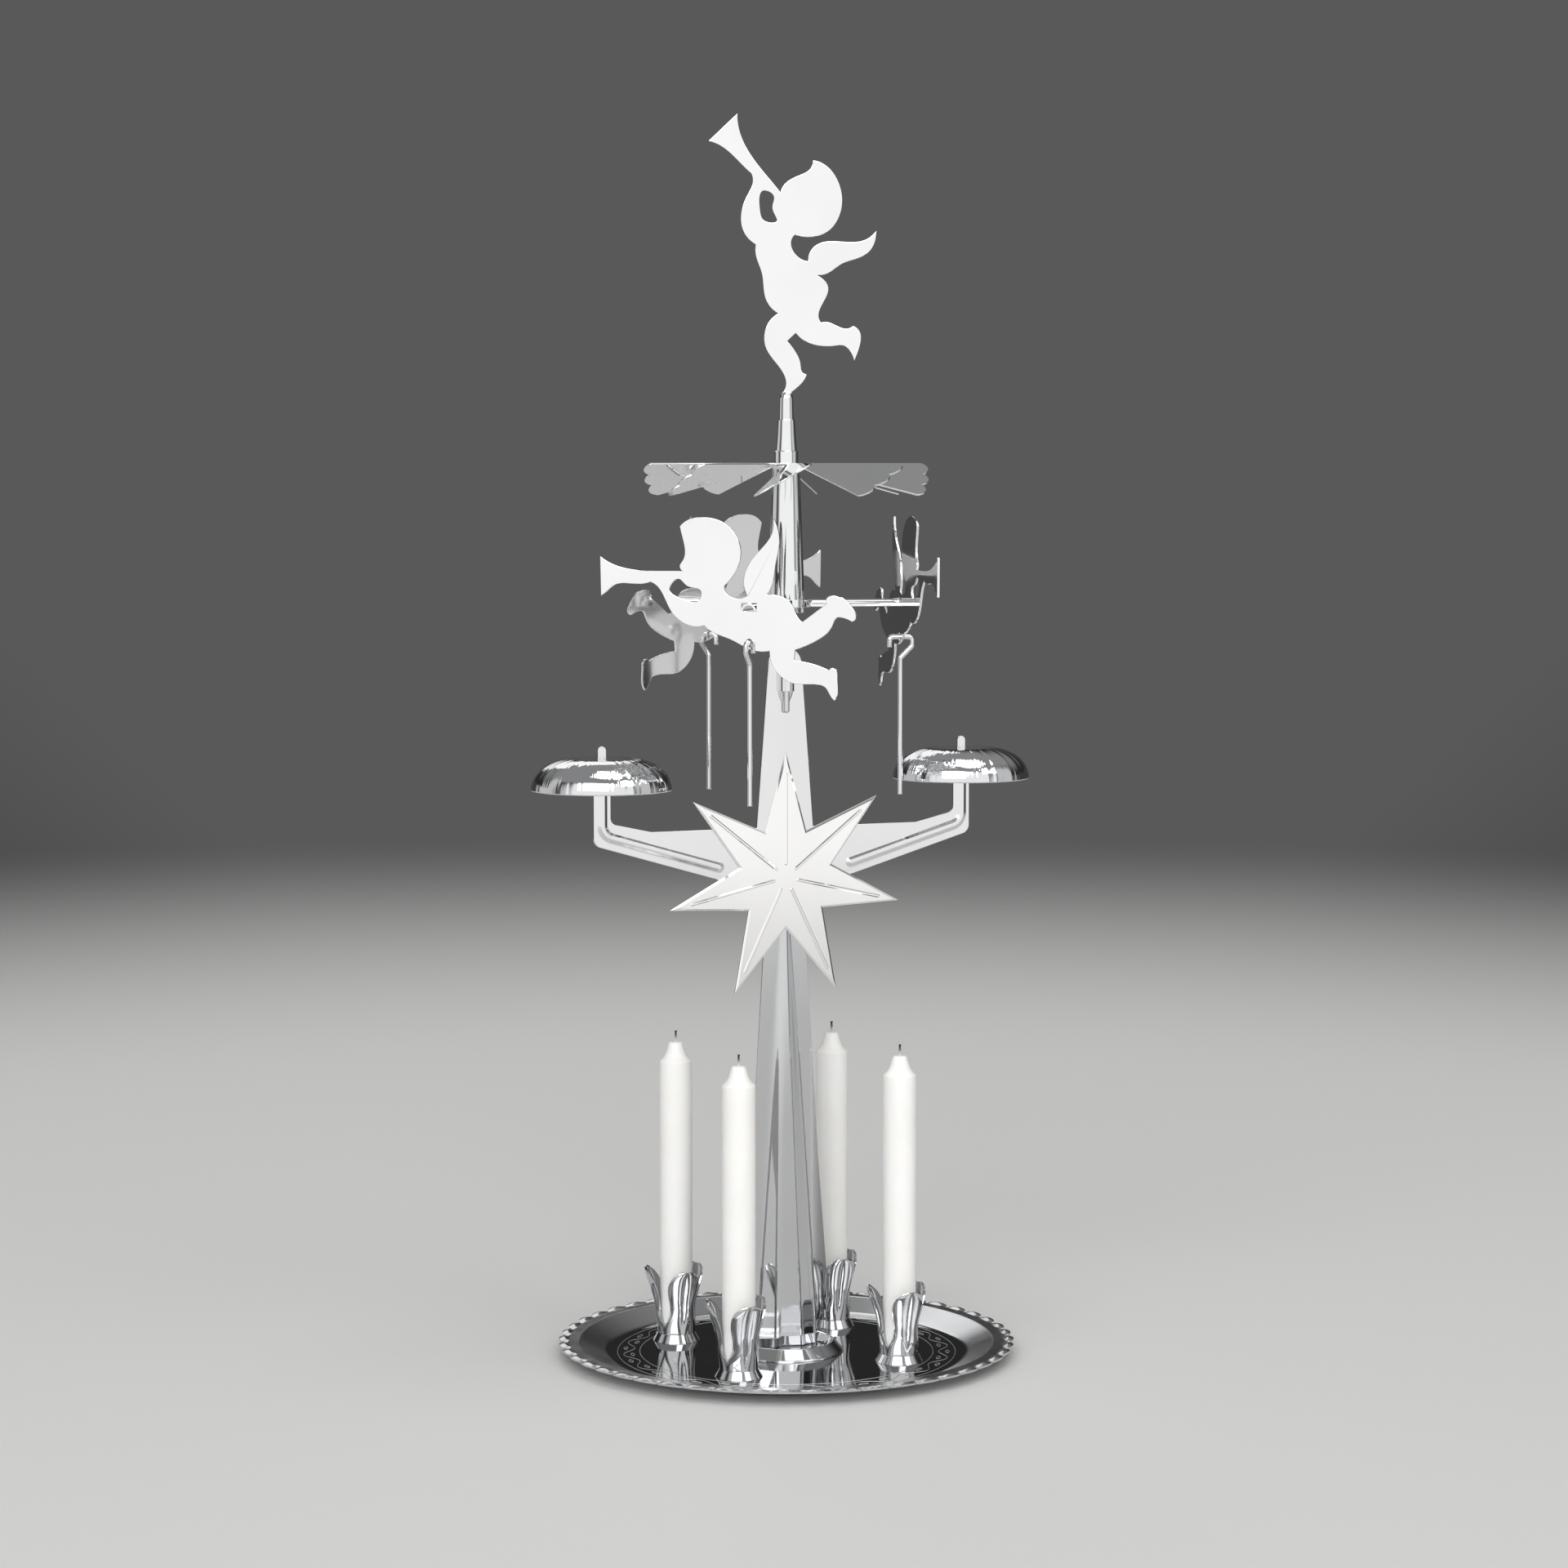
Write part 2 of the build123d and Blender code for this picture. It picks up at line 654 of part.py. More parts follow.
# Top holder: a stepped sleeve on the fan, with a slot across its dome for the standing angel's tang.
collar_end = fan_height + holder_collar_height
sleeve_end = collar_end + holder_sleeve_height
neck_end = sleeve_end + holder_neck_height
holder_end = neck_end + holder_dome_height
standing_across = (cos(radians(standing_turn)), sin(radians(standing_turn)), 0)
standing_facing = (sin(radians(standing_turn)), -cos(radians(standing_turn)), 0)
standing_foot = Plane(origin=(0, 0, holder_end), x_dir=standing_across, z_dir=standing_facing)
with BuildPart() as top_holder:
    with BuildSketch(Plane.XZ):
        with BuildLine():
            Polyline(
                (0, holder_end),
                (0, cup_top),
                (holder_bore, cup_top),
                (holder_bore, fan_height),
                (holder_collar_radius, fan_height),
                (holder_collar_radius, collar_end),
                (holder_sleeve_foot_radius, collar_end),
                (holder_sleeve_top_radius, sleeve_end),
                (holder_neck_foot_radius, sleeve_end),
                (holder_neck_top_radius, neck_end),
            )
            EllipticalCenterArc((0, neck_end), holder_neck_top_radius, holder_dome_height)
        make_face()
    revolve(axis=Axis.Z)
    with BuildSketch(standing_foot):
        with Locations((0, -tang_depth / 2)):
            Rectangle(2 * holder_sleeve_foot_radius, tang_depth + 2 * fixed_gap)
    extrude(amount=figure_sheet / 2 + fixed_gap, both=True, mode=Mode.SUBTRACT)
finish(top_holder.part, "top_holder")

# Standing angel: one flat sheet, with a tang below its foot that goes into the holder.
with BuildPart() as top_angel:
    with BuildSketch(standing_foot):
        with BuildLine():
            figure_edge(standing_edges, standing_height)
        make_face()
        with BuildLine():
            figure_hole(standing_arm_hole, standing_height)
        make_face(mode=Mode.SUBTRACT)
        with Locations(((tang_left + tang_right) / 2, -tang_depth / 2)):
            Rectangle(tang_right - tang_left, tang_depth)
    extrude(amount=figure_sheet / 2, both=True)
finish(top_angel.part, "top_angel")

# Arm spider: a ring on the tube's land with three arched arms, each staked through an angel's slot.
arm_foot = arm_height - arm_rise / 2
ring_inner = tube_foot_radius + fixed_gap
ring_outer = ring_inner + spider_ring_width
arm_start = ring_outer - arm_overlap
arm_end = angel_radius + figure_sheet / 2 + arm_stake
with BuildPart() as arm_spider:
    with BuildSketch(Plane.XY.offset(arm_foot)):
        Circle(ring_outer)
        Circle(ring_inner, mode=Mode.SUBTRACT)
    extrude(amount=arm_rise)
    for angle in angel_angles:
        outward = (cos(radians(angle)), sin(radians(angle)), 0)
        across = (-sin(radians(angle)), cos(radians(angle)), 0)
        arm_plane = Plane(
            origin=(arm_start * outward[0], arm_start * outward[1], arm_foot), x_dir=across, z_dir=outward
        )
        with BuildSketch(arm_plane):
            with BuildLine():
                ThreePointArc((-arm_width / 2, 0), (0, arm_rise), (arm_width / 2, 0))
                Line((arm_width / 2, 0), (arm_width / 2 - arm_sheet, 0))
                ThreePointArc(
                    (arm_width / 2 - arm_sheet, 0), (0, arm_rise - arm_sheet), (arm_sheet - arm_width / 2, 0)
                )
                Line((arm_sheet - arm_width / 2, 0), (-arm_width / 2, 0))
            make_face()
        extrude(amount=arm_end - arm_start)
finish(arm_spider.part, "arm_spider")

# Flying angels and their strikers. Each angel is a flat sheet square to its arm. Its striker is a bent
# wire, hooked through the angel's belly from outside, that hangs straight below the hole.
hook_across = hook_place[0] * angel_length / outline_units
hook_up = hook_place[1] * angel_length / outline_units
striker_drop = arm_height + hook_up - bell_rim_height + striker_drop_past_rim
hook_points = (
    (-hook_inner_reach, -hook_end_drop),
    (-hook_inner_reach, 0),
    (hook_outer_reach, 0),
    (hook_outer_reach, -hook_turn_drop),
    (0, -hook_leg_drop),
    (0, -striker_drop),
)
for number, angle in enumerate(angel_angles, start=1):
    outward = Vector(cos(radians(angle)), sin(radians(angle)), 0)
    across = Vector(-sin(radians(angle)), cos(radians(angle)), 0)
    slot_centre = outward * angel_radius + Vector(0, 0, arm_height)
    with BuildPart() as angel:
        with BuildSketch(Plane(origin=slot_centre, x_dir=across, z_dir=outward)):
            with BuildLine():
                figure_edge(flying_edges, angel_length)
            make_face()
            with BuildLine():
                figure_hole(flying_arm_hole, angel_length)
            make_face(mode=Mode.SUBTRACT)
            Rectangle(arm_width + 2 * fixed_gap, arm_rise + 2 * fixed_gap, mode=Mode.SUBTRACT)
            with Locations((hook_across, hook_up)):
                Circle(wire_radius + swing_gap, mode=Mode.SUBTRACT)
        extrude(amount=figure_sheet / 2, both=True)
    finish(angel.part, "angel_" + str(number))

    hook_centre = slot_centre + across * hook_across + Vector(0, 0, hook_up)
    with BuildPart() as striker:
        with BuildLine(Plane(origin=hook_centre, x_dir=outward, z_dir=-across)) as wire_path:
            FilletPolyline(*hook_points, radius=hook_bend_radius)
        wire_start = Plane(origin=wire_path.line @ 0, z_dir=wire_path.line % 0)
        with BuildSketch(wire_start):
            Circle(wire_radius)
        sweep(path=wire_path.line)
    finish(striker.part, "striker_" + str(number))

# Candle cups, candles and wicks: four alike. A cup's petals are leaf shapes cut from one flared wall, which
# stays whole at its foot.
cup_radius = candle_radius + cup_gap
cup_foot_radius = cup_radius + petal_sheet + cup_foot_flare
cup_base = tray_sheet
candle_foot = cup_base + petal_sheet + rivet_head_height + loose_gap
candle_top = candle_foot + candle_height
for number, (across, along) in enumerate(cup_places, start=1):
    cup_axis = Axis((across, along, 0), (0, 0, 1))
    profile_plane = Plane(origin=(across, along, cup_base), x_dir=(1, 0, 0), z_dir=(0, -1, 0))
    with BuildPart() as cup:
        for petal in range(petal_count):
            turn = radians(petal_start_angle + petal * 360 / petal_count)
            petal_plane = Plane(
                origin=(across, along, cup_base),
                x_dir=(-sin(turn), cos(turn), 0),
                z_dir=(cos(turn), sin(turn), 0),
            )
            with BuildSketch(petal_plane):
                with BuildLine():
                    Polyline((0, petal_height), (0, 0), (petal_foot_half, 0))
                    Spline((petal_foot_half, 0), (petal_half, petal_widest), (0, petal_height),
                           tangents=((0, 1), (-1, 0)))
                make_face()
                mirror(about=Plane.YZ)
            extrude(amount=cup_radius + petal_flare + 2 * petal_sheet)
        with BuildSketch(profile_plane):
            with BuildLine():
                for wall_shift in (0, petal_sheet):
                    Line((cup_radius + wall_shift, 0), (cup_radius + wall_shift, petal_straight))
                    Spline(
                        (cup_radius + wall_shift, petal_straight),
                        (cup_radius + petal_flare + wall_shift, petal_height),
                        tangents=((0, 1), (petal_flare, petal_straight)),
                    )
                Line((cup_radius, 0), (cup_radius + petal_sheet, 0))
                Line((cup_radius + petal_flare, petal_height),
                     (cup_radius + petal_flare + petal_sheet, petal_height))
            make_face()
        revolve(axis=cup_axis, mode=Mode.INTERSECT)
        with BuildSketch(profile_plane):
            with BuildLine():
                Polyline(
                    (cup_foot_radius - petal_sheet, 0),
                    (cup_foot_radius, 0),
                    (cup_radius + petal_sheet, cup_foot_height),
                    (cup_radius, cup_foot_height),
                    close=True,
                )
            make_face()
            with BuildLine():
                Polyline(
                    (rivet_radius + fixed_gap, 0),
                    (cup_radius + petal_sheet, 0),
                    (cup_radius + petal_sheet, cup_wall_height),
                    (cup_radius, cup_wall_height),
                    (cup_radius, petal_sheet),
                    (rivet_radius + fixed_gap, petal_sheet),
                    close=True,
                )
            make_face()
        revolve(axis=cup_axis)
    finish(cup.part, "candle_cup_" + str(number))

    with BuildPart() as candle:
        with BuildSketch(Plane(origin=(across, along, 0), x_dir=(1, 0, 0), z_dir=(0, -1, 0))):
            with BuildLine():
                Polyline(
                    (candle_tip_radius, candle_top),
                    (0, candle_top),
                    (0, candle_foot),
                    (candle_radius, candle_foot),
                    (candle_radius, candle_top - candle_shoulder),
                )
                Spline(
                    (candle_radius, candle_top - candle_shoulder),
                    (candle_tip_radius, candle_top),
                    tangents=((-1, candle_shoulder_slope), (-candle_tip_lean, 1)),
                )
            make_face()
        revolve(axis=cup_axis)
        with BuildSketch(Plane.XY.offset(candle_foot + wick_start)):
            with Locations((across, along)):
                Circle(wick_radius + fixed_gap)
        extrude(amount=candle_height - wick_start, mode=Mode.SUBTRACT)
    finish(candle.part, "candle_" + str(number))

    with BuildPart() as wick:
        with BuildSketch(Plane.XY.offset(candle_foot + wick_start)):
            with Locations((across, along)):
                Circle(wick_radius)
        extrude(amount=candle_height - wick_start + wick_rise)
    finish(wick.part, "wick_" + str(number))

# Cup rivets: flush below the tray, headed inside the cups.
with BuildPart() as cup_rivets:
    with BuildSketch():
        with Locations(*cup_places):
            Circle(rivet_radius)
    extrude(amount=cup_base + petal_sheet)
    with BuildSketch(Plane.XY.offset(cup_base + petal_sheet)):
        with Locations(*cup_places):
            Circle(rivet_head_radius)
    extrude(amount=rivet_head_height)
finish(cup_rivets.part, "cup_rivets")
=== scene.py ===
import bpy
from math import atan2, cos, hypot, pi, radians, sin
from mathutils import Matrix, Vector


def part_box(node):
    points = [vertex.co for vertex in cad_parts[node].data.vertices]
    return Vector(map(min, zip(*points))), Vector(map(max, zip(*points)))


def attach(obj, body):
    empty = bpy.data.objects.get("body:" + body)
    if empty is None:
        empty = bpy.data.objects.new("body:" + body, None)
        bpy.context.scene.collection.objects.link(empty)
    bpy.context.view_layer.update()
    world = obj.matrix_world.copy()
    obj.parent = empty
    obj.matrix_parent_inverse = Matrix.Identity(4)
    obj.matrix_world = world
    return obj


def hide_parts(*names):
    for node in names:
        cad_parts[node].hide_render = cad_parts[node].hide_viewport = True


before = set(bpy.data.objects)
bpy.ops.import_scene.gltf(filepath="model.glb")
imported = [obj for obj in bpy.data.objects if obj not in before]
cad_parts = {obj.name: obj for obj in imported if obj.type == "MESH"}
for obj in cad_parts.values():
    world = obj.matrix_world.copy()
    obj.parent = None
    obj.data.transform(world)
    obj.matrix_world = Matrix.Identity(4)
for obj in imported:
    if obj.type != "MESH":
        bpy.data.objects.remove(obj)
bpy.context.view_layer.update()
mm = 0.001

# Tray: a round dish pressed from thin plated sheet and polished to a mirror. Its rim is gadrooned: each
# scallop is a raised lobe with a crease either side. The floor carries the cups and the stem.
tray_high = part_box("tray")[1]
tray_sheet = 0.6 * mm
rim_radius = tray_high.x
rim_height = tray_high.z
rim_width = 5.7 * mm
tray_wall_run = 7.4 * mm
lobe_count = 48
lobe_length = 3.0 * mm
lobe_depth = 1.2 * mm
lobe_rise = 0.5 * mm
lobe_round = 0.8
lobe_ring_count = 8
lobe_slack = 0.01 * mm
pillow_crest = 0.55
pillow_fall = 0.75
crease_drop = 0.35 * mm
hem_drop = 0.5 * mm
tray_bend = 1.1 * mm
tray_satin = 0.17
steps_per_lobe = 12
floor_rings = (40, 30, 20, 10, 0)
chrome_tint = (0.64, 0.645, 0.655, 1.0)


def clear_selection():
    """Leave object mode with nothing selected, so that operators act on the next piece alone."""
    if bpy.context.object and bpy.context.object.mode != "OBJECT":
        bpy.ops.object.mode_set(mode="OBJECT")
    bpy.ops.object.select_all(action="DESELECT")


def take(piece):
    """Make one piece the only selected and active one."""
    clear_selection()
    piece.select_set(True)
    bpy.context.view_layer.objects.active = piece


def soften(points, radius, steps=4, most=0.45):
    """Round the inner corners of an open profile, as sheet metal bends, within a share of each side."""
    line = [Vector(point) for point in points]
    out = [line[0]]
    for before, corner, after in zip(line, line[1:], line[2:]):
        cut = min(radius, most * (before - corner).length, most * (after - corner).length)
        start = corner + (before - corner).normalized() * cut
        end = corner + (after - corner).normalized() * cut
        for step in range(steps + 1):
            share = step / steps
            out.append(start.lerp(corner, share).lerp(corner.lerp(end, share), share))
    return [tuple(point) for point in out + [line[-1]]]


def lathe(name, profile, segments, centre=(0.0, 0.0), weld=0.0005 * mm):
    """Draw a ring and extrude it along a profile of radius and height, as metal is spun."""
    clear_selection()
    radius, height = profile[0]
    bpy.ops.mesh.primitive_circle_add(vertices=segments, radius=radius, location=(*centre, height))
    piece = bpy.context.object
    piece.name = name
    bpy.ops.object.transform_apply(location=True, rotation=True, scale=True)
    bpy.ops.object.mode_set(mode="EDIT")
    bpy.ops.mesh.select_all(action="SELECT")
    for next_radius, next_height in profile[1:]:
        bpy.ops.mesh.extrude_edges_move(TRANSFORM_OT_translate={"value": (0, 0, next_height - height)})
        share = next_radius / radius
        bpy.ops.transform.resize(value=(share, share, 1), center_override=(*centre, next_height))
        radius, height = next_radius, next_height
    bpy.ops.mesh.select_all(action="SELECT")
    bpy.ops.mesh.remove_doubles(threshold=weld)
    bpy.ops.mesh.normals_make_consistent(inside=False)
    bpy.ops.object.mode_set(mode="OBJECT")
    return piece


def thicken(piece, sheet, side):
    """Give a surface the thickness of its sheet, inwards for -1 and outwards for 1."""
    take(piece)
    bpy.ops.object.modifier_add(type="SOLIDIFY")
    wall = piece.modifiers[-1]
    wall.thickness = sheet
    wall.offset = side
    bpy.ops.object.modifier_apply(modifier=wall.name)


def smooth_finish(piece, angle=40.0):
    """Shade curved faces smooth and keep broad flat faces flat."""
    take(piece)
    bpy.ops.object.shade_smooth_by_angle(angle=radians(angle))
    bpy.ops.object.modifier_add(type="WEIGHTED_NORMAL")
    flat = piece.modifiers[-1]
    flat.keep_sharp = True
    bpy.ops.object.modifier_apply(modifier=flat.name)


def dress(piece, material, body, slot, *nodes):
    """Give a finished piece its one material and its body, and hide the nodes it stands for. The slot
    argument is not used.
    """
    piece.data.materials.clear()
    piece.data.materials.append(material)
    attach(piece, body)
    if nodes:
        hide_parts(*nodes)


def polished_metal(name, tint, roughness, smudge, ripple):
    """Mirror-polished plate: faint wipe marks in the gloss, hairline scratches and a slow ripple."""
    material = bpy.data.materials.new(name)
    material.use_nodes = True
    nodes, links = material.node_tree.nodes, material.node_tree.links
    shader = nodes["Principled BSDF"]
    shader.inputs["Metallic"].default_value = 1.0
    place = nodes.new("ShaderNodeTexCoord")
    tone_noise = nodes.new("ShaderNodeTexNoise")
    tone_noise.inputs["Scale"].default_value = 45.0
    tone_noise.inputs["Detail"].default_value = 3.0
    links.new(place.outputs["Object"], tone_noise.inputs["Vector"])
    tone = nodes.new("ShaderNodeValToRGB")
    tone.color_ramp.elements[0].position = 0.3
    tone.color_ramp.elements[0].color = tuple(0.96 * part for part in tint[:3]) + (1.0,)
    tone.color_ramp.elements[1].position = 0.7
    tone.color_ramp.elements[1].color = tint
    links.new(tone_noise.outputs["Fac"], tone.inputs["Fac"])
    links.new(tone.outputs["Color"], shader.inputs["Base Color"])
    wipe_map = nodes.new("ShaderNodeMapping")
    wipe_map.inputs["Rotation"].default_value = (0.3, 0.5, 0.7)
    wipe_map.inputs["Scale"].default_value = (1.0, 1.0, 0.25)
    links.new(place.outputs["Object"], wipe_map.inputs["Vector"])
    wipe = nodes.new("ShaderNodeTexNoise")
    wipe.inputs["Scale"].default_value = 120.0
    wipe.inputs["Detail"].default_value = 6.0
    wipe.inputs["Roughness"].default_value = 0.65
    links.new(wipe_map.outputs["Vector"], wipe.inputs["Vector"])
    gloss = nodes.new("ShaderNodeMapRange")
    gloss.inputs["From Min"].default_value = 0.35
    gloss.inputs["From Max"].default_value = 0.75
    gloss.inputs["To Min"].default_value = roughness
    gloss.inputs["To Max"].default_value = roughness + smudge
    links.new(wipe.outputs["Fac"], gloss.inputs["Value"])
    links.new(gloss.outputs["Result"], shader.inputs["Roughness"])
    hair_map = nodes.new("ShaderNodeMapping")
    hair_map.inputs["Rotation"].default_value = (0.9, 0.2, 0.4)
    hair_map.inputs["Scale"].default_value = (1.0, 0.02, 1.0)
    links.new(place.outputs["Object"], hair_map.inputs["Vector"])
    hair = nodes.new("ShaderNodeTexNoise")
    hair.inputs["Scale"].default_value = 2600.0
    hair.inputs["Detail"].default_value = 1.0
    links.new(hair_map.outputs["Vector"], hair.inputs["Vector"])
    slow = nodes.new("ShaderNodeTexNoise")
    slow.inputs["Scale"].default_value = 38.0
    slow.inputs["Detail"].default_value = 1.0
    links.new(place.outputs["Object"], slow.inputs["Vector"])
    sway = nodes.new("ShaderNodeBump")
    sway.inputs["Strength"].default_value = ripple
    sway.inputs["Distance"].default_value = 0.3 * mm
    links.new(slow.outputs["Fac"], sway.inputs["Height"])
    scratch = nodes.new("ShaderNodeBump")
    scratch.inputs["Strength"].default_value = 0.02
    scratch.inputs["Distance"].default_value = 0.01 * mm
    links.new(hair.outputs["Fac"], scratch.inputs["Height"])
    links.new(sway.outputs["Normal"], scratch.inputs["Normal"])
    links.new(scratch.outputs["Normal"], shader.inputs["Normal"])
    return material


def satin_beyond(material, start, end, roughness):
    """Leave the metal satin beyond a radius from the axis: only the floor inside it is polished out."""
    nodes, links = material.node_tree.nodes, material.node_tree.links
    level = nodes.new("ShaderNodeVectorMath")
    level.operation = "MULTIPLY"
    level.inputs[1].default_value = (1.0, 1.0, 0.0)
    links.new(nodes["Texture Coordinate"].outputs["Object"], level.inputs[0])
    reach = nodes.new("ShaderNodeVectorMath")
    reach.operation = "LENGTH"
    links.new(level.outputs["Vector"], reach.inputs[0])
    satin = nodes.new("ShaderNodeMapRange")
    satin.inputs["From Min"].default_value = start
    satin.inputs["From Max"].default_value = end
    satin.inputs["To Max"].default_value = roughness
    links.new(reach.outputs["Value"], satin.inputs["Value"])
    total = nodes.new("ShaderNodeMath")
    links.new(nodes["Map Range"].outputs["Result"], total.inputs[0])
    links.new(satin.outputs["Result"], total.inputs[1])
    links.new(total.outputs["Value"], nodes["Principled BSDF"].inputs["Roughness"])


stand_chrome = polished_metal("stand_chrome", chrome_tint, 0.03, 0.06, 0.05)
tray_chrome = polished_metal("tray_chrome", chrome_tint, 0.03, 0.06, 0.05)
rim_inner = rim_radius - rim_width
floor_radius = rim_inner - tray_wall_run
satin_beyond(tray_chrome, floor_radius, floor_radius + tray_bend, tray_satin)
lobe_start = rim_radius - lobe_length
lobe_rings = [lobe_start + lobe_length * step / lobe_ring_count for step in range(lobe_ring_count + 1)]
dish_profile = [(rim_radius, rim_height - hem_drop)]
dish_profile += [(radius, rim_height) for radius in reversed(lobe_rings)]
dish_profile += soften(
    [(rim_inner + tray_bend * 0.9, rim_height), (rim_inner, rim_height), (floor_radius, tray_sheet),
     (floor_radius - tray_bend * 2, tray_sheet)], tray_bend)
dish_profile += [(radius * mm, tray_sheet) for radius in floor_rings]
dish = lathe("dish", dish_profile, lobe_count * steps_per_lobe)
for vertex in dish.data.vertices:
    radius = hypot(vertex.co.x, vertex.co.y)
    if radius > lobe_start + lobe_slack:
        along = (radius - lobe_start) / lobe_length
        arch = abs(cos(lobe_count / 2 * atan2(vertex.co.y, vertex.co.x)))
        edge = rim_radius - lobe_depth * (1 - arch ** lobe_round)
        swell_up = sin(pi / 2 * min(along / pillow_crest, 1)) ** 2
        roll_down = pillow_fall * max(0.0, (along - pillow_crest) / (1 - pillow_crest)) ** 2
        pillow = swell_up - roll_down
        share = (lobe_start + along * (edge - lobe_start)) / radius
        vertex.co.x *= share
        vertex.co.y *= share
        vertex.co.z += (lobe_rise + crease_drop) * arch * pillow - crease_drop * pillow
thicken(dish, tray_sheet, -1)
smooth_finish(dish, 50)
dress(dish, tray_chrome, "stand", "stand_sheet", "tray")

# Tray ornament: fine lines struck into the dish's floor, a plain wave with a leaf in each bend between
# two rings. The struck lines are matt, so they show pale on the mirror.
ornament_radius = 42.5 * mm
ornament_wave = 1.5 * mm
ornament_waves = 18
steps_per_wave = 16
ornament_line = 0.075 * mm
leaf_length = 3.0 * mm
leaf_width = 0.55 * mm
leaf_inset = 0.9 * mm
leaf_steps = 12
ring_gap = 3.0 * mm
ring_steps = 240


def struck_line(curve, points):
    """Add one closed fine line on the floor through points given as radius and angle."""
    line = curve.splines.new("POLY")
    line.points.add(len(points) - 1)
    for point, (radius, turn) in zip(line.points, points):
        point.co = (radius * cos(turn), radius * sin(turn), tray_sheet, 1.0)
    line.use_cyclic_u = True


def struck_metal(name, tint):
    """Matt struck lines: rough chrome with a fine grain."""
    material = bpy.data.materials.new(name)
    material.use_nodes = True
    nodes, links = material.node_tree.nodes, material.node_tree.links
    shader = nodes["Principled BSDF"]
    shader.inputs["Metallic"].default_value = 1.0
    shader.inputs["Base Color"].default_value = tint
    place = nodes.new("ShaderNodeTexCoord")
    grain = nodes.new("ShaderNodeTexNoise")
    grain.inputs["Scale"].default_value = 4000.0
    links.new(place.outputs["Object"], grain.inputs["Vector"])
    gloss = nodes.new("ShaderNodeMapRange")
    gloss.inputs["To Min"].default_value = 0.35
    gloss.inputs["To Max"].default_value = 0.6
    links.new(grain.outputs["Fac"], gloss.inputs["Value"])
    links.new(gloss.outputs["Result"], shader.inputs["Roughness"])
    return material


lines = bpy.data.curves.new("tray_ornament", "CURVE")
lines.dimensions = "3D"
lines.bevel_depth = ornament_line
lines.bevel_resolution = 1
wave_steps = ornament_waves * steps_per_wave
wave = []
for step in range(wave_steps):
    turn = step * 2 * pi / wave_steps
    wave.append((ornament_radius + ornament_wave * sin(ornament_waves * turn), turn))
struck_line(lines, wave)
for ring in (ornament_radius - ring_gap, ornament_radius + ring_gap):
    struck_line(lines, [(ring, step * 2 * pi / ring_steps) for step in range(ring_steps)])
for bend in range(2 * ornament_waves):
    middle = (bend + 0.5) * pi / ornament_waves
    inward = 1 if bend % 2 == 0 else -1
    leaf = []
    for step in range(leaf_steps):
        turn = step * 2 * pi / leaf_steps
        along = leaf_length / 2 * cos(turn)
        across = leaf_width * sin(turn) * abs(sin(turn))
        leaf.append((ornament_radius - inward * leaf_inset + across, middle + along / ornament_radius))
    struck_line(lines, leaf)
ornament = bpy.data.objects.new("tray_ornament", lines)
bpy.context.scene.collection.objects.link(ornament)
take(ornament)
bpy.ops.object.convert(target="MESH")
dress(ornament, struck_metal("struck_lines", (0.62, 0.62, 0.62, 1.0)), "stand", "stand_sheet")

# Stem collar: a short conical ring of the same polished sheet that hides the foot of the stem. It is turned
# in at its foot and lies on the tray's floor.
collar_low, collar_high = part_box("stem_collar")
collar_sheet = 0.45 * mm
collar_run = 3.1 * mm
collar_lip = 0.5 * mm
collar_skirt = 1.1 * mm
collar_draft = 0.15 * mm
collar_base = 0.4 * mm
collar_floor = 0.6 * mm
collar_segments = 128
collar_foot = collar_high.x
collar_bore = collar_foot - collar_run
collar_profile = soften([
    (collar_bore - collar_skirt, collar_low.z),
    (collar_foot, collar_low.z),
    (collar_foot - collar_draft, collar_low.z + collar_base),
    (collar_bore + collar_sheet, collar_high.z),
    (collar_bore, collar_high.z),
    (collar_bore - collar_skirt, collar_low.z + collar_floor),
    (collar_bore - collar_skirt, collar_low.z),
], collar_lip)
collar = lathe("collar_ring", collar_profile, collar_segments)
smooth_finish(collar, 60)
dress(collar, stand_chrome, "stand", "stand_sheet", "stem_collar")

# Stem: a tapered plate of the same sheet. A channel with rounded bends is pressed forward down its middle
# to stiffen it, wide at the foot and running out under the star. Its top steps back behind the bracket.
stem_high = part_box("stem")[1]
plate = 0.8 * mm
stem_front = stem_high.y - 2 * plate
stem_edge = ((0.6, 12.1), (22.8, 12.1), (52.0, 9.7), (107.7, 6.25), (115.4, 5.9), (135.2, 5.9))
channel_foot = (17.4, 7.7, 4.0)
channel_top = (2.6, 0.8, 0.12)
channel_end = 114.9
channel_bend = 1.1 * mm
channel_bend_steps = 5
stem_round = 0.18 * mm
joggle = (115.4, 116.4)
stem_heights = (0.6, 8.0, 15.5, 22.8, 32.5, 42.0, 52.0, 66.0, 80.0, 94.0, 107.7,
                channel_end, 115.05, *joggle, 124.0, 135.2)


def between(pairs, place):
    """Read a value off a table of straight runs."""
    for (start, first), (end, last) in zip(pairs, pairs[1:]):
        if place <= end:
            return first + (last - first) * (place - start) / (end - start)
    return pairs[-1][1]


def sheet_grid(name, columns, rows, place):
    """Lay out a flat grid and move its points to their places on a bent sheet."""
    clear_selection()
    bpy.ops.mesh.primitive_grid_add(x_subdivisions=columns, y_subdivisions=rows, size=1)
    piece = bpy.context.object
    piece.name = name
    for vertex in piece.data.vertices:
        column = round((vertex.co.x + 0.5) * columns)
        row = round((vertex.co.y + 0.5) * rows)
        vertex.co = place(column, row)
    return piece


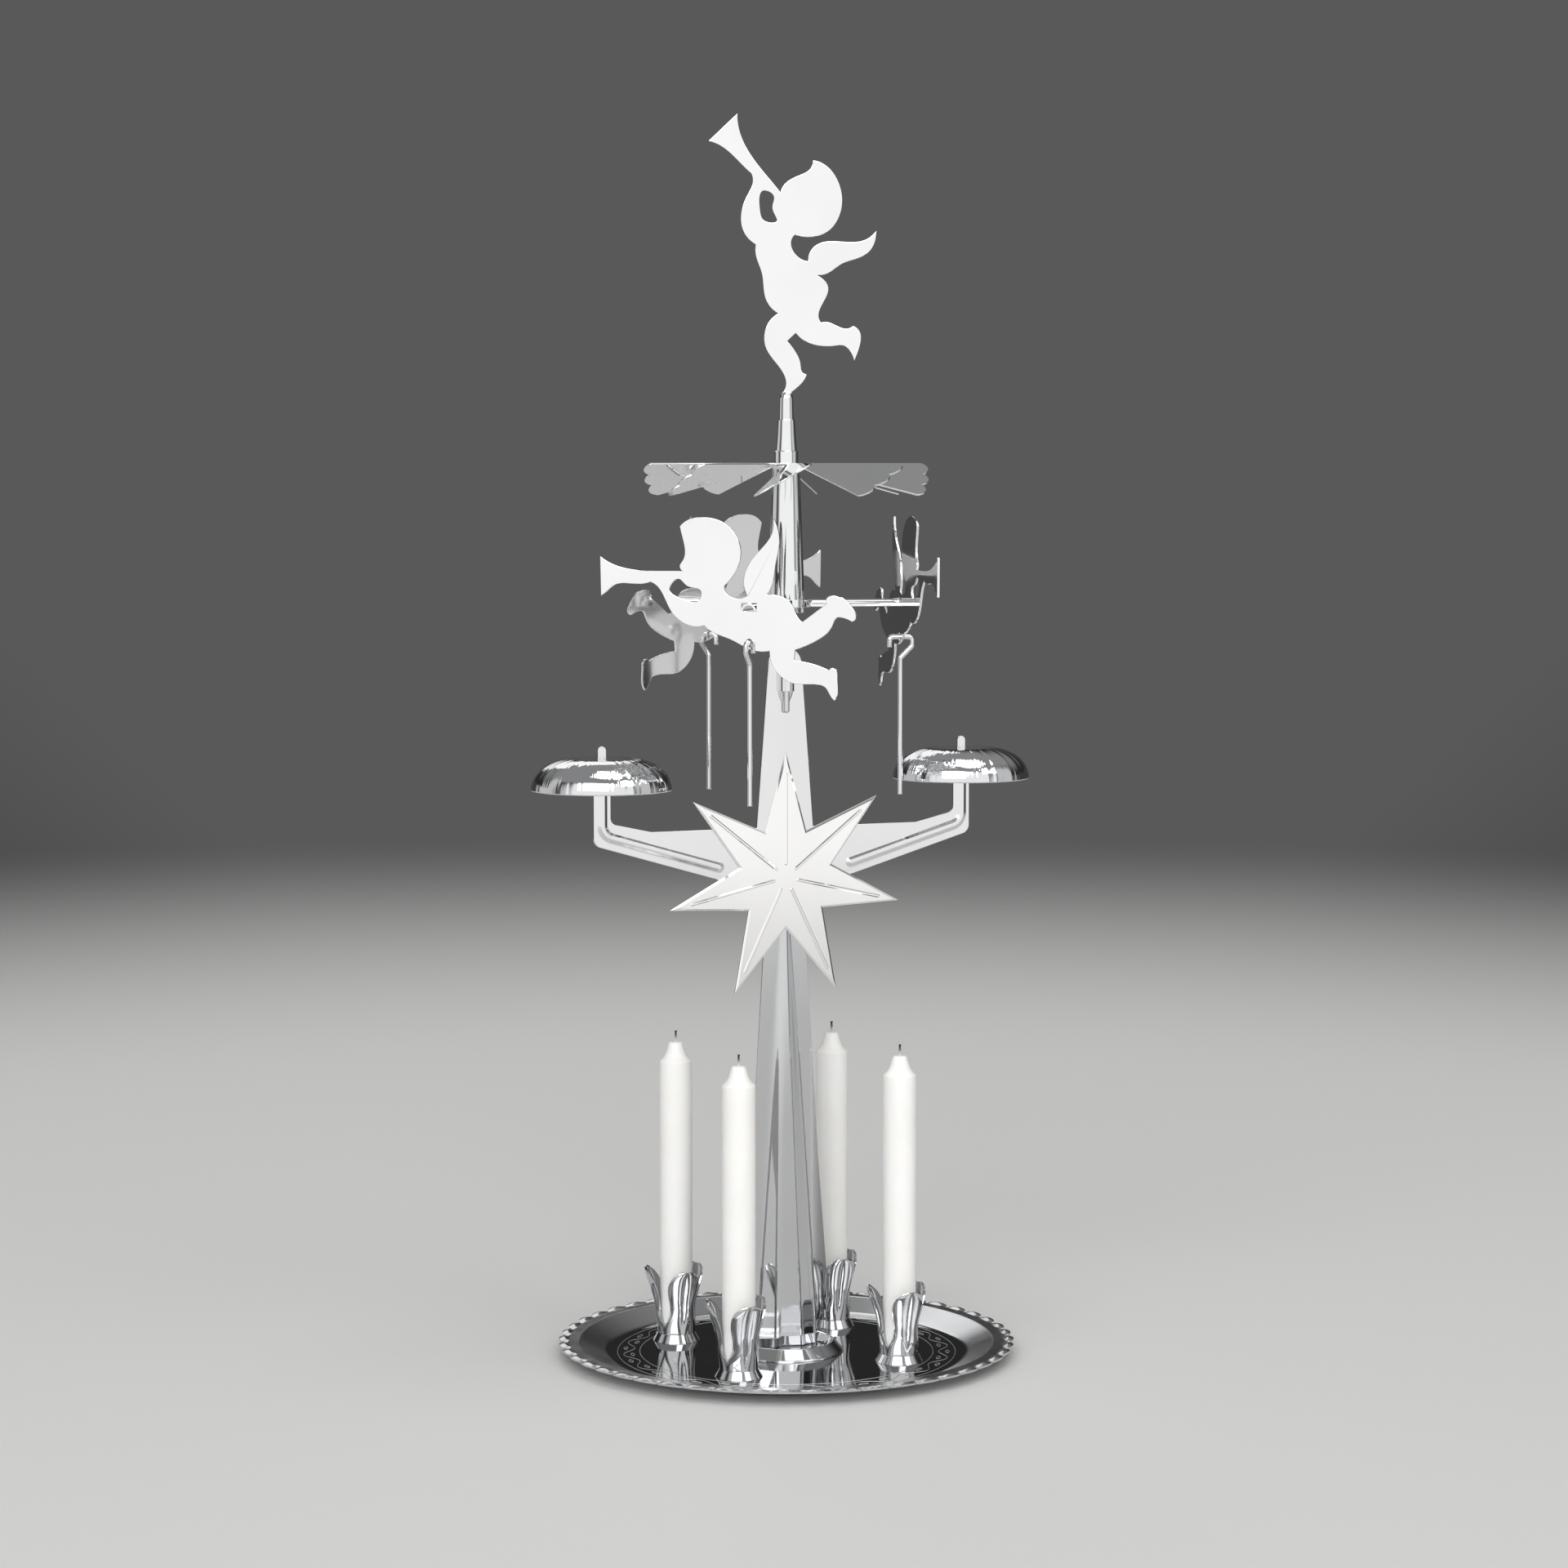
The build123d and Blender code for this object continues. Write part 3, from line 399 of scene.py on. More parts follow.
def ease_edges(piece, width, angle=50.0, segments=2):
    """Round the cut edges of a sheet, as tumbling and plating do."""
    take(piece)
    bpy.ops.object.modifier_add(type="BEVEL")
    ease = piece.modifiers[-1]
    ease.width = width
    ease.segments = segments
    ease.limit_method = "ANGLE"
    ease.angle_limit = radians(angle)
    ease.use_clamp_overlap = False
    bpy.ops.object.modifier_apply(modifier=ease.name)


def stem_row(height):
    """One level section of the stem's front face."""
    half = between(stem_edge, height) * mm
    share = min(1.0, (height - stem_heights[0]) / (channel_end - stem_heights[0]))
    width, face, depth = [
        (foot + (top - foot) * share) * mm for foot, top in zip(channel_foot, channel_top)]
    if height > channel_end:
        depth = 0.0
    face_y = stem_front + (plate if height > joggle[0] else 0.0)
    return soften([
        (-half, face_y), (-width / 2, face_y), (-face / 2, face_y - depth),
        (face / 2, face_y - depth), (width / 2, face_y), (half, face_y),
    ], channel_bend, channel_bend_steps)


stem_rows = [stem_row(height) for height in stem_heights]
stem_pressing = sheet_grid(
    "stem_pressing", len(stem_rows[0]) - 1, len(stem_rows) - 1,
    lambda column, row: (*stem_rows[row][column], stem_heights[row] * mm))
thicken(stem_pressing, plate, -1)
ease_edges(stem_pressing, stem_round)
smooth_finish(stem_pressing)
dress(stem_pressing, stand_chrome, "stand", "stand_sheet", "stem")

# Bell bracket: a cross cut from flat plate. Its upper arm holds the needle in a pressed sleeve, and each
# bell arm is stiffened by a rounded bead and turns up into a post with a tab for the bell.
plate_edge = 0.16 * mm
bead_bend = 28.0
plate_chrome = polished_metal("plate_chrome", (0.80, 0.80, 0.80, 1.0), 0.04, 0.06, 0.04)


def sheet_copy(node, name, weld=0.002 * mm, flat=1.0):
    """Copy a sheet piece from the frame and join its triangles into whole faces."""
    piece = bpy.data.objects.new(name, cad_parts[node].data.copy())
    bpy.context.scene.collection.objects.link(piece)
    take(piece)
    bpy.ops.mesh.customdata_custom_splitnormals_clear()
    bpy.ops.object.mode_set(mode="EDIT")
    bpy.ops.mesh.select_all(action="SELECT")
    bpy.ops.mesh.remove_doubles(threshold=weld)
    bpy.ops.mesh.dissolve_limited(angle_limit=radians(flat))
    bpy.ops.object.mode_set(mode="OBJECT")
    return piece


def pressed_copy(node, name, edge, segments=2, bend=40.0):
    """Copy a sheet piece from the frame and round its edges."""
    piece = sheet_copy(node, name)
    ease_edges(piece, edge, bend, segments)
    smooth_finish(piece, 35)
    return piece


bracket_plate = pressed_copy("bell_bracket", "bracket_plate", plate_edge, 2, bead_bend)
dress(bracket_plate, plate_chrome, "stand", "stand_sheet", "bell_bracket")

# Star: a seven-pointed star cut from brighter sheet, with a narrow rib pressed up along each point. The die
# slopes its front edges back.
star_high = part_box("star")[1]
star_sheet = 0.6 * mm
star_slope = 0.5 * mm
star_slope_depth = 0.3 * mm
star_face = star_high.y - star_sheet
star_radius = 33.8 * mm
star_middle = star_high.z - star_radius
star_slack = 0.1 * mm
star_touch = 0.02 * mm
rib_share = 0.6
star_chrome = polished_metal("star_chrome", (0.955, 0.95, 0.935, 1.0), 0.04, 0.06, 0.03)


def star_share(first, last):
    """How much of the slope one edge of the star gets: all on the front outline, some on the ribs."""
    front = max(first.y, last.y)
    reach = max(hypot(point.x, point.z - star_middle) for point in (first, last))
    if front < star_face - star_slack:
        return rib_share
    return 1.0 if front < star_face + star_slack and reach > star_radius - star_slack else 0.0


star_plate = sheet_copy("star", "star_plate")
edge_shares = star_plate.data.attributes.new("bevel_weight_edge", "FLOAT", "EDGE")
for edge in star_plate.data.edges:
    first, last = [star_plate.data.vertices[corner].co for corner in edge.vertices]
    edge_shares.data[edge.index].value = star_share(first, last)
take(star_plate)
bpy.ops.object.modifier_add(type="BEVEL")
slope = star_plate.modifiers[-1]
slope.width = star_slope
slope.segments = 1
slope.limit_method = "WEIGHT"
slope.use_clamp_overlap = False
bpy.ops.object.modifier_apply(modifier=slope.name)
for vertex in star_plate.data.vertices:
    if abs(vertex.co.y - star_face - star_slope) < star_touch:
        vertex.co.y = star_face + star_slope_depth
smooth_finish(star_plate, 20)
dress(star_plate, star_chrome, "stand", "stand_sheet", "star")

# Star studs: two short steel studs that hold star, bracket and stem together. They are headed over at the
# back.
stud_round = 0.35 * mm
rivet_metal = polished_metal("rivet_metal", (0.76, 0.76, 0.78, 1.0), 0.14, 0.12, 0.1)
stud_heads = pressed_copy("star_studs", "stud_heads", stud_round, 4)
dress(stud_heads, rivet_metal, "stand", "rivet_metal", "star_studs")

# Needle: a ground steel pin clamped in the bracket's sleeve. The rotor turns on its point. The frame's own
# shape is kept and only takes its finish here.
needle_steel = polished_metal("needle_steel", (0.70, 0.71, 0.73, 1.0), 0.1, 0.1, 0.02)
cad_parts["needle"].data.materials.clear()
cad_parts["needle"].data.materials.append(needle_steel)

# Candle cups: each is a foot cone and three leaf-shaped petals of thin sheet. A vein is pressed down the
# middle of each petal, and the petals flare to grip the candle.
cup_circle = 32.5
cup_turns = (45, 135, 225, 315)
cup_middles = [(cup_circle * cos(radians(turn)), cup_circle * sin(radians(turn))) for turn in cup_turns]
cup_radius = 4.7
cup_segments = 64
petal_sheet = 0.4
petal_height = 20.0
petal_straight = 9.0
petal_flare = 3.5
petal_edge = ((0.0, 4.88), (4.0, 4.88), (5.0, 4.5), (6.5, 3.6), (8.0, 3.1), (9.5, 3.0), (11.0, 3.1),
              (13.0, 3.3))
petal_half = 3.3
petal_widest = 13.0
petal_swell = 0.75
petal_weld = 0.001 * mm
swell_start = 3.0
swell_run = 6.0
flare_power = 1.5
vein_power = 0.8
tip_power = 2.3
tip_least = 0.02
petal_turns = (-90, 30, 150)
petal_columns = 24
petal_rows = 36
cup_foot_section = [
    (1.02, 0.0), (5.9, 0.0), (6.25, 0.02), (6.3, 0.12), (6.2, 0.3), (5.2, 2.05), (5.1, 2.2), (4.75, 2.2),
    (5.7, 0.4), (1.02, 0.4), (1.02, 0.0)]


def leaf_half(height):
    """Half the width of a petal at one height."""
    if height <= petal_widest:
        return between(petal_edge, height)
    share = (height - petal_widest) / (petal_height - petal_widest)
    return petal_half * max(tip_least, 1 - share ** tip_power) ** 0.5


def petal_point(middle, turn, column, row):
    """Place one point of a petal, wrapped round the candle, veined and flared."""
    height = petal_height * sin(pi / 2 * row / petal_rows)
    across = 2 * column / petal_columns - 1
    half = leaf_half(height)
    lift = max(0.0, (height - petal_straight) / (petal_height - petal_straight))
    swell = petal_swell * min(1.0, max(0.0, height - swell_start) / swell_run) * min(1.0, half / petal_half)
    reach = cup_radius + petal_flare * lift ** flare_power + swell * sin(pi * abs(across)) ** vein_power
    angle = radians(turn) + across * half / cup_radius
    return ((middle[0] + reach * cos(angle)) * mm, (middle[1] + reach * sin(angle)) * mm,
            tray_sheet + height * mm)


for number, middle in enumerate(cup_middles, start=1):
    cup_line = [(radius * mm, tray_sheet + height * mm) for radius, height in cup_foot_section]
    cup = lathe("cup_%d" % number, cup_line, cup_segments, (middle[0] * mm, middle[1] * mm))
    leaves = []
    for turn in petal_turns:
        petal = sheet_grid("petal", petal_columns, petal_rows,
                           lambda column, row: petal_point(middle, turn, column, row))
        bpy.ops.object.mode_set(mode="EDIT")
        bpy.ops.mesh.select_all(action="SELECT")
        bpy.ops.mesh.remove_doubles(threshold=petal_weld)
        bpy.ops.object.mode_set(mode="OBJECT")
        thicken(petal, petal_sheet * mm, 1)
        leaves.append(petal)
    take(cup)
    for petal in leaves:
        petal.select_set(True)
    bpy.ops.object.join()
    smooth_finish(cup, 50)
    dress(cup, stand_chrome, "stand", "stand_sheet", "candle_cup_%d" % number)

# Cup rivets: a steel rivet through the middle of each cup holds it to the tray. It is headed inside the cup
# and flush below the tray.
rivet_round = 0.2 * mm
rivet_heads = pressed_copy("cup_rivets", "rivet_heads", rivet_round, 3)
dress(rivet_heads, rivet_metal, "stand", "rivet_metal", "cup_rivets")

# Bells: shallow gongs of polished sheet. They are deep drawn, which leaves faint streaks down their sides.
# Each hangs loose on the tab of its post.
bell_crown = 8.0 * mm
bell_edge = 0.3 * mm
bell_steps = 20
bell_hole = 1.32 * mm
bell_sheet = 0.6 * mm
bell_lip = 0.2 * mm
bell_segments = 128
bell_tint = (0.79, 0.795, 0.81, 1.0)
bell_streaks = 6.0
bell_streak_depth = 0.4 * mm
streak_start = 0.6 * bell_crown
streak_full = 1.6 * bell_crown


def bell_finish(name, middle):
    """Polished bell metal with shallow streaks that run from beside the crown to the rim."""
    material = polished_metal(name, bell_tint, 0.04, 0.06, 0.12)
    nodes, links = material.node_tree.nodes, material.node_tree.links
    centre = nodes.new("ShaderNodeMapping")
    centre.inputs["Location"].default_value = (-middle[0], -middle[1], 0.0)
    links.new(nodes["Texture Coordinate"].outputs["Object"], centre.inputs["Vector"])
    level = nodes.new("ShaderNodeVectorMath")
    level.operation = "MULTIPLY"
    level.inputs[1].default_value = (1.0, 1.0, 0.0)
    links.new(centre.outputs["Vector"], level.inputs[0])
    heading = nodes.new("ShaderNodeVectorMath")
    heading.operation = "NORMALIZE"
    links.new(level.outputs["Vector"], heading.inputs[0])
    streak = nodes.new("ShaderNodeTexNoise")
    streak.inputs["Scale"].default_value = bell_streaks
    streak.inputs["Detail"].default_value = 2.5
    links.new(heading.outputs["Vector"], streak.inputs["Vector"])
    reach = nodes.new("ShaderNodeVectorMath")
    reach.operation = "LENGTH"
    links.new(level.outputs["Vector"], reach.inputs[0])
    fade = nodes.new("ShaderNodeMapRange")
    fade.inputs["From Min"].default_value = streak_start
    fade.inputs["From Max"].default_value = streak_full
    links.new(reach.outputs["Value"], fade.inputs["Value"])
    ridge = nodes.new("ShaderNodeBump")
    ridge.inputs["Distance"].default_value = bell_streak_depth
    links.new(fade.outputs["Result"], ridge.inputs["Strength"])
    links.new(streak.outputs["Fac"], ridge.inputs["Height"])
    links.new(ridge.outputs["Normal"], nodes["Bump"].inputs["Normal"])
    return material


for side in ("left", "right"):
    bell_low, bell_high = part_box("bell_" + side)
    bell_middle = ((bell_low.x + bell_high.x) / 2, (bell_low.y + bell_high.y) / 2)
    bell_radius = (bell_high.x - bell_low.x) / 2
    bell_line = [(bell_radius, bell_low.z)]
    for step in range(bell_steps + 1):
        turn = pi / 2 * step / bell_steps
        bell_line.append((bell_crown + (bell_radius - bell_crown) * cos(turn),
                          bell_low.z + bell_edge + (bell_high.z - bell_low.z - bell_edge) * sin(turn)))
    bell_line.append((bell_hole, bell_high.z))
    gong = lathe(side + "_gong", bell_line, bell_segments, bell_middle)
    thicken(gong, bell_sheet, -1)
    ease_edges(gong, bell_lip)
    smooth_finish(gong, 60)
    bell_chrome = bell_finish(side + "_bell_chrome", bell_middle)
    dress(gong, bell_chrome, "bell_" + side, "bell_metal", "bell_" + side)

# Hub tube: a long tapered tube drawn from bright sheet, with a rolled bead under the fan. It hangs over the
# needle and carries the fan and the arms.
tube_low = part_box("hub_tube")[0]
tube_segments = 96
tube_section = [
    (4.3, 0.0), (4.7, 0.0), (4.8, 0.1), (4.8, 4.2), (3.63, 37.9), (3.85, 38.05), (4.05, 38.3), (4.1, 38.6),
    (4.05, 38.85), (3.85, 39.05), (3.6, 39.1), (3.1, 39.1), (4.3, 4.2), (4.3, 0.0)]
rotor_chrome = polished_metal("rotor_chrome", (0.88, 0.885, 0.89, 1.0), 0.03, 0.05, 0.03)
tube_line = [(radius * mm, tube_low.z + height * mm) for radius, height in tube_section]
tube = lathe("tube", tube_line, tube_segments)
smooth_finish(tube, 45)
dress(tube, rotor_chrome, "rotor", "rotor_sheet", "hub_tube")

# Arm spider: a ring with three arched arms, pressed from one sheet. The ring is pressed on the tube, and each
# arm is staked in an angel's slot.
spider_edge = 0.1 * mm
spider = pressed_copy("arm_spider", "spider", spider_edge)
dress(spider, rotor_chrome, "rotor", "rotor_sheet", "arm_spider")

# Fan wheel: one disc of thin bright sheet, cut into blades that are bent down along one edge, so that warm
# air turns it. It is clamped between the tube and the top holder.
fan_edge = 0.07 * mm
fan = pressed_copy("fan_wheel", "fan", fan_edge)
dress(fan, rotor_chrome, "rotor", "rotor_sheet", "fan_wheel")

# Top holder: a stepped sleeve drawn from sheet, with a dome that takes the standing figure's tang. A brass
# bearing cup inside it runs on the needle's point.
holder_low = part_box("top_holder")[0]
holder_segments = 64
holder_section = [
    (1.75, 0.0), (3.16, 0.0), (3.16, 3.05), (3.0, 3.2), (2.86, 3.25), (2.78, 4.2), (2.62, 6.0), (2.5, 7.4),
    (2.44, 8.6), (2.3, 11.2), (2.2, 11.45), (1.95, 11.5), (1.93, 11.65), (1.95, 11.8), (1.8, 17.1),
    (1.72, 17.25), (1.6, 17.8), (1.3, 18.35), (0.8, 18.7), (0.3, 18.8), (0.0, 18.8)]
bearing_brass = polished_metal("bearing_brass", (0.78, 0.58, 0.27, 1.0), 0.18, 0.1, 0.05)
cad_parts["pivot_cup"].data.materials.clear()
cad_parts["pivot_cup"].data.materials.append(bearing_brass)
holder_line = [(radius * mm, holder_low.z + height * mm) for radius, height in holder_section]
holder = lathe("holder", holder_line, holder_segments)
smooth_finish(holder, 30)
dress(holder, rotor_chrome, "rotor", "rotor_sheet", "top_holder")

# Angels: flat silhouettes cut from bright sheet with their edges rounded. Three hang on the arms and one
# stands on the holder.
angel_edge = 0.16 * mm
angel_chrome = polished_metal("angel_chrome", (0.93, 0.93, 0.93, 1.0), 0.05, 0.06, 0.03)
for node in ("angel_1", "angel_2", "angel_3", "top_angel"):
    figure = pressed_copy(node, node + "_sheet", angel_edge)
    dress(figure, angel_chrome, "rotor", "rotor_sheet", node)

# Strikers: bright drawn wire bent to a hook that hangs in a hole of each flying angel. The straight end below
# it swings out against the bells.
wire_end = 0.25 * mm
striker_chrome = polished_metal("striker_chrome", (0.80, 0.80, 0.82, 1.0), 0.06, 0.08, 0.02)
for number in (1, 2, 3):
    name = "striker_%d" % number
    wire = pressed_copy(name, name + "_wire", wire_end, 3)
    dress(wire, striker_chrome, name, "striker_wire", name)

# Candles: dipped white wax, round and straight, with a moulded shoulder that narrows to the wick. Each
# stands loose in its cup.
candle_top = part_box("candle_1")[1].z
candle_segments = 64
candle_section = (
    (1.0, -81.0), (4.0, -81.0), (4.3, -80.9), (4.4, -80.6), (4.4, -40.0), (4.4, -5.3), (4.36, -5.08),
    (4.22, -4.92), (3.95, -4.7), (3.5, -4.25), (3.05, -3.6), (2.7, -2.9), (2.42, -2.15), (2.2, -1.4),
    (2.03, -0.8), (1.85, -0.35), (1.6, -0.08), (1.2, 0.0), (0.2, 0.0), (0.0, 0.0))
candle_wax = bpy.data.materials.new("candle_wax")
candle_wax.use_nodes = True
wax_nodes, wax_links = candle_wax.node_tree.nodes, candle_wax.node_tree.links
wax_shader = wax_nodes["Principled BSDF"]
wax_shader.inputs["Roughness"].default_value = 0.42
wax_shader.inputs["Subsurface Weight"].default_value = 0.35
wax_shader.inputs["Subsurface Radius"].default_value = (1.0, 0.8, 0.6)
wax_shader.inputs["Subsurface Scale"].default_value = 2.0 * mm
wax_place = wax_nodes.new("ShaderNodeTexCoord")
wax_cloud = wax_nodes.new("ShaderNodeTexNoise")
wax_cloud.inputs["Scale"].default_value = 90.0
wax_cloud.inputs["Detail"].default_value = 4.0
wax_links.new(wax_place.outputs["Object"], wax_cloud.inputs["Vector"])
wax_tone = wax_nodes.new("ShaderNodeValToRGB")
wax_tone.color_ramp.elements[0].position = 0.35
wax_tone.color_ramp.elements[0].color = (0.905, 0.9, 0.87, 1.0)
wax_tone.color_ramp.elements[1].position = 0.65
wax_tone.color_ramp.elements[1].color = (0.935, 0.93, 0.91, 1.0)
wax_links.new(wax_cloud.outputs["Fac"], wax_tone.inputs["Fac"])
wax_links.new(wax_tone.outputs["Color"], wax_shader.inputs["Base Color"])
wax_grain = wax_nodes.new("ShaderNodeTexNoise")
wax_grain.inputs["Scale"].default_value = 420.0
wax_grain.inputs["Detail"].default_value = 3.0
wax_links.new(wax_place.outputs["Object"], wax_grain.inputs["Vector"])
wax_skin = wax_nodes.new("ShaderNodeBump")
wax_skin.inputs["Strength"].default_value = 0.12
wax_skin.inputs["Distance"].default_value = 0.1 * mm
wax_links.new(wax_grain.outputs["Fac"], wax_skin.inputs["Height"])
wax_links.new(wax_skin.outputs["Normal"], wax_shader.inputs["Normal"])
for number, middle in enumerate(cup_middles, start=1):
    name = "candle_%d" % number
    candle_line = [(radius * mm, candle_top + height * mm) for radius, height in candle_section]
    dip = lathe(name + "_wax", candle_line, candle_segments, (middle[0] * mm, middle[1] * mm))
    take(dip)
    bpy.ops.object.mode_set(mode="EDIT")
    bpy.ops.mesh.select_all(action="SELECT")
    bpy.ops.mesh.fill_holes(sides=0)
    bpy.ops.object.mode_set(mode="OBJECT")
    smooth_finish(dip, 50)
    dress(dip, candle_wax, name, "candle_wax", name)

# Wicks: three cotton strands twisted together. Each is set in the wax when the candle is dipped, and is
# charred at its tip.
wick_low, wick_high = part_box("wick_1")
strand_radius = 0.2 * mm
strand_offset = 0.19 * mm
strand_count = 3
strand_steps = 60
twist_length = 2.2 * mm
char_length = 2.6 * mm
char_full = 0.3 * char_length
wick_cotton = bpy.data.materials.new("wick_cotton")
wick_cotton.use_nodes = True
cotton_nodes, cotton_links = wick_cotton.node_tree.nodes, wick_cotton.node_tree.links
cotton_shader = cotton_nodes["Principled BSDF"]
cotton_shader.inputs["Roughness"].default_value = 0.85
cotton_place = cotton_nodes.new("ShaderNodeTexCoord")
cotton_fibre = cotton_nodes.new("ShaderNodeTexNoise")
cotton_fibre.inputs["Scale"].default_value = 9000.0
cotton_links.new(cotton_place.outputs["Object"], cotton_fibre.inputs["Vector"])
cotton_tone = cotton_nodes.new("ShaderNodeValToRGB")
cotton_tone.color_ramp.elements[0].color = (0.50, 0.47, 0.41, 1.0)
cotton_tone.color_ramp.elements[1].color = (0.84, 0.81, 0.74, 1.0)
cotton_links.new(cotton_fibre.outputs["Fac"], cotton_tone.inputs["Fac"])
cotton_split = cotton_nodes.new("ShaderNodeSeparateXYZ")
cotton_links.new(cotton_place.outputs["Object"], cotton_split.inputs["Vector"])
char = cotton_nodes.new("ShaderNodeMapRange")
char.inputs["From Min"].default_value = wick_high.z - char_length
char.inputs["From Max"].default_value = wick_high.z - char_full
cotton_links.new(cotton_split.outputs["Z"], char.inputs["Value"])
burnt = cotton_nodes.new("ShaderNodeMix")
burnt.data_type = "RGBA"
burnt.inputs[7].default_value = (0.03, 0.025, 0.022, 1.0)
cotton_links.new(char.outputs["Result"], burnt.inputs["Factor"])
cotton_links.new(cotton_tone.outputs["Color"], burnt.inputs[6])
cotton_links.new(burnt.outputs[2], cotton_shader.inputs["Base Color"])
for number, middle in enumerate(cup_middles, start=1):
    name = "wick_%d" % number
    yarn = bpy.data.curves.new(name + "_yarn", "CURVE")
    yarn.dimensions = "3D"
    yarn.bevel_depth = strand_radius
    yarn.bevel_resolution = 1
    yarn.use_fill_caps = True
    for strand in range(strand_count):
        line = yarn.splines.new("POLY")
        line.points.add(strand_steps)
        for step, point in enumerate(line.points):
            height = wick_low.z + (wick_high.z - wick_low.z) * step / strand_steps
            turn = 2 * pi * (strand / strand_count + height / twist_length)
            across = middle[0] * mm + strand_offset * cos(turn)
            along = middle[1] * mm + strand_offset * sin(turn)
            point.co = (across, along, height, 1)
    twist = bpy.data.objects.new(name + "_yarn", yarn)
    bpy.context.scene.collection.objects.link(twist)
    take(twist)
    bpy.ops.object.convert(target="MESH")
    twist = bpy.context.object
    bpy.ops.object.shade_smooth_by_angle(angle=radians(60))
    dress(twist, wick_cotton, "candle_%d" % number, "wick_cotton", name)

# Floor and backdrop: a plain pale table top that runs out into a plain room. The room's wall is white behind
# the camera, pale at its sides, and dark behind the object and in strips between, so that bright metal shows
# its form. Each stop gives degrees round from the camera's side, and the wall's tone there.
floor_tone = (0.72, 0.717, 0.71, 1.0)
floor_reach = 300.0
floor_sides = 128
floor_drop = 0.02 * mm
fade_start = 0.5
fade_end = 1.45
camera_turn = radians(-22.5)
front_side = (sin(camera_turn), -cos(camera_turn), 0.0)
right_side = (cos(camera_turn), sin(camera_turn), 0.0)
wall_stops = ((-180, 0.10), (-166, 0.10), (-152, 0.05), (-132, 0.05), (-118, 0.6), (-90, 0.6), (-76, 0.06),
              (-68, 0.06), (-50, 1.0), (52, 1.0), (59, 0.3), (65, 0.3), (72, 0.62), (90, 0.62), (108, 0.05),
              (152, 0.05), (166, 0.10), (180, 0.10))


def wall_tone(tree, heading):
    """Read the tone of the room's wall in the direction of a vector socket."""
    turns = []
    for side in (right_side, front_side):
        share = tree.nodes.new("ShaderNodeVectorMath")
        share.operation = "DOT_PRODUCT"
        share.inputs[1].default_value = side
        tree.links.new(heading, share.inputs[0])
        turns.append(share)
    turn = tree.nodes.new("ShaderNodeMath")
    turn.operation = "ARCTAN2"
    tree.links.new(turns[0].outputs["Value"], turn.inputs[0])
    tree.links.new(turns[1].outputs["Value"], turn.inputs[1])
    round_room = tree.nodes.new("ShaderNodeMapRange")
    round_room.inputs["From Min"].default_value = -pi
    round_room.inputs["From Max"].default_value = pi
    tree.links.new(turn.outputs["Value"], round_room.inputs["Value"])
    tones = tree.nodes.new("ShaderNodeValToRGB")
    tree.links.new(round_room.outputs["Result"], tones.inputs["Fac"])
    stops = tones.color_ramp.elements
    while len(stops) < len(wall_stops):
        stops.new(1.0)
    for stop, (angle, tone) in zip(stops, wall_stops):
        stop.position = 0.5 + angle / 360
        stop.color = (tone, tone, tone, 1.0)
    return tones.outputs["Color"]


clear_selection()
bpy.ops.mesh.primitive_circle_add(
    vertices=floor_sides, radius=floor_reach, fill_type="NGON", location=(0, 0, -floor_drop))
floor = bpy.context.object
floor.name = "floor"
bpy.ops.object.transform_apply(location=True, rotation=True, scale=True)
floor_paint = bpy.data.materials.new("floor_paint")
floor_paint.use_nodes = True
floor_nodes, floor_links = floor_paint.node_tree.nodes, floor_paint.node_tree.links
floor_shader = floor_nodes["Principled BSDF"]
floor_shader.inputs["Base Color"].default_value = floor_tone
floor_shader.inputs["Roughness"].default_value = 0.7
floor_shader.inputs["Specular IOR Level"].default_value = 0.1
floor_place = floor_nodes.new("ShaderNodeTexCoord")
room_glow = floor_nodes.new("ShaderNodeEmission")
far_tone = wall_tone(floor_paint.node_tree, floor_place.outputs["Object"])
floor_links.new(far_tone, room_glow.inputs["Color"])
floor_distance = floor_nodes.new("ShaderNodeVectorMath")
floor_distance.operation = "LENGTH"
floor_links.new(floor_place.outputs["Object"], floor_distance.inputs[0])
floor_fade = floor_nodes.new("ShaderNodeMapRange")
floor_fade.interpolation_type = "SMOOTHSTEP"
floor_fade.inputs["From Min"].default_value = fade_start
floor_fade.inputs["From Max"].default_value = fade_end
floor_links.new(floor_distance.outputs["Value"], floor_fade.inputs["Value"])
floor_mix = floor_nodes.new("ShaderNodeMixShader")
floor_links.new(floor_fade.outputs["Result"], floor_mix.inputs["Fac"])
floor_links.new(floor_shader.outputs["BSDF"], floor_mix.inputs[1])
floor_links.new(room_glow.outputs["Emission"], floor_mix.inputs[2])
floor_links.new(floor_mix.outputs["Shader"], floor_nodes["Material Output"].inputs["Surface"])
floor.data.materials.append(floor_paint)

# Light: the room's own walls, which are high in front and low behind, a dim ceiling that grows lighter
# overhead, and soft boxes in front, above and behind.
low_wall = (0.13, 0.20)
high_wall = (0.60, 0.75)
rear_side = (-0.15, -0.35)
ceiling_rise = (0.28, 0.75)
ceiling_tones = (0.025, 0.28)
world = bpy.data.worlds.new("room")
bpy.context.scene.world = world
world.use_nodes = True
room_nodes, room_links = world.node_tree.nodes, world.node_tree.links
room_place = room_nodes.new("ShaderNodeTexCoord")
room_split = room_nodes.new("ShaderNodeSeparateXYZ")
room_links.new(room_place.outputs["Generated"], room_split.inputs["Vector"])
room_front = room_nodes.new("ShaderNodeVectorMath")
room_front.operation = "DOT_PRODUCT"
room_front.inputs[1].default_value = front_side
room_links.new(room_place.outputs["Generated"], room_front.inputs[0])


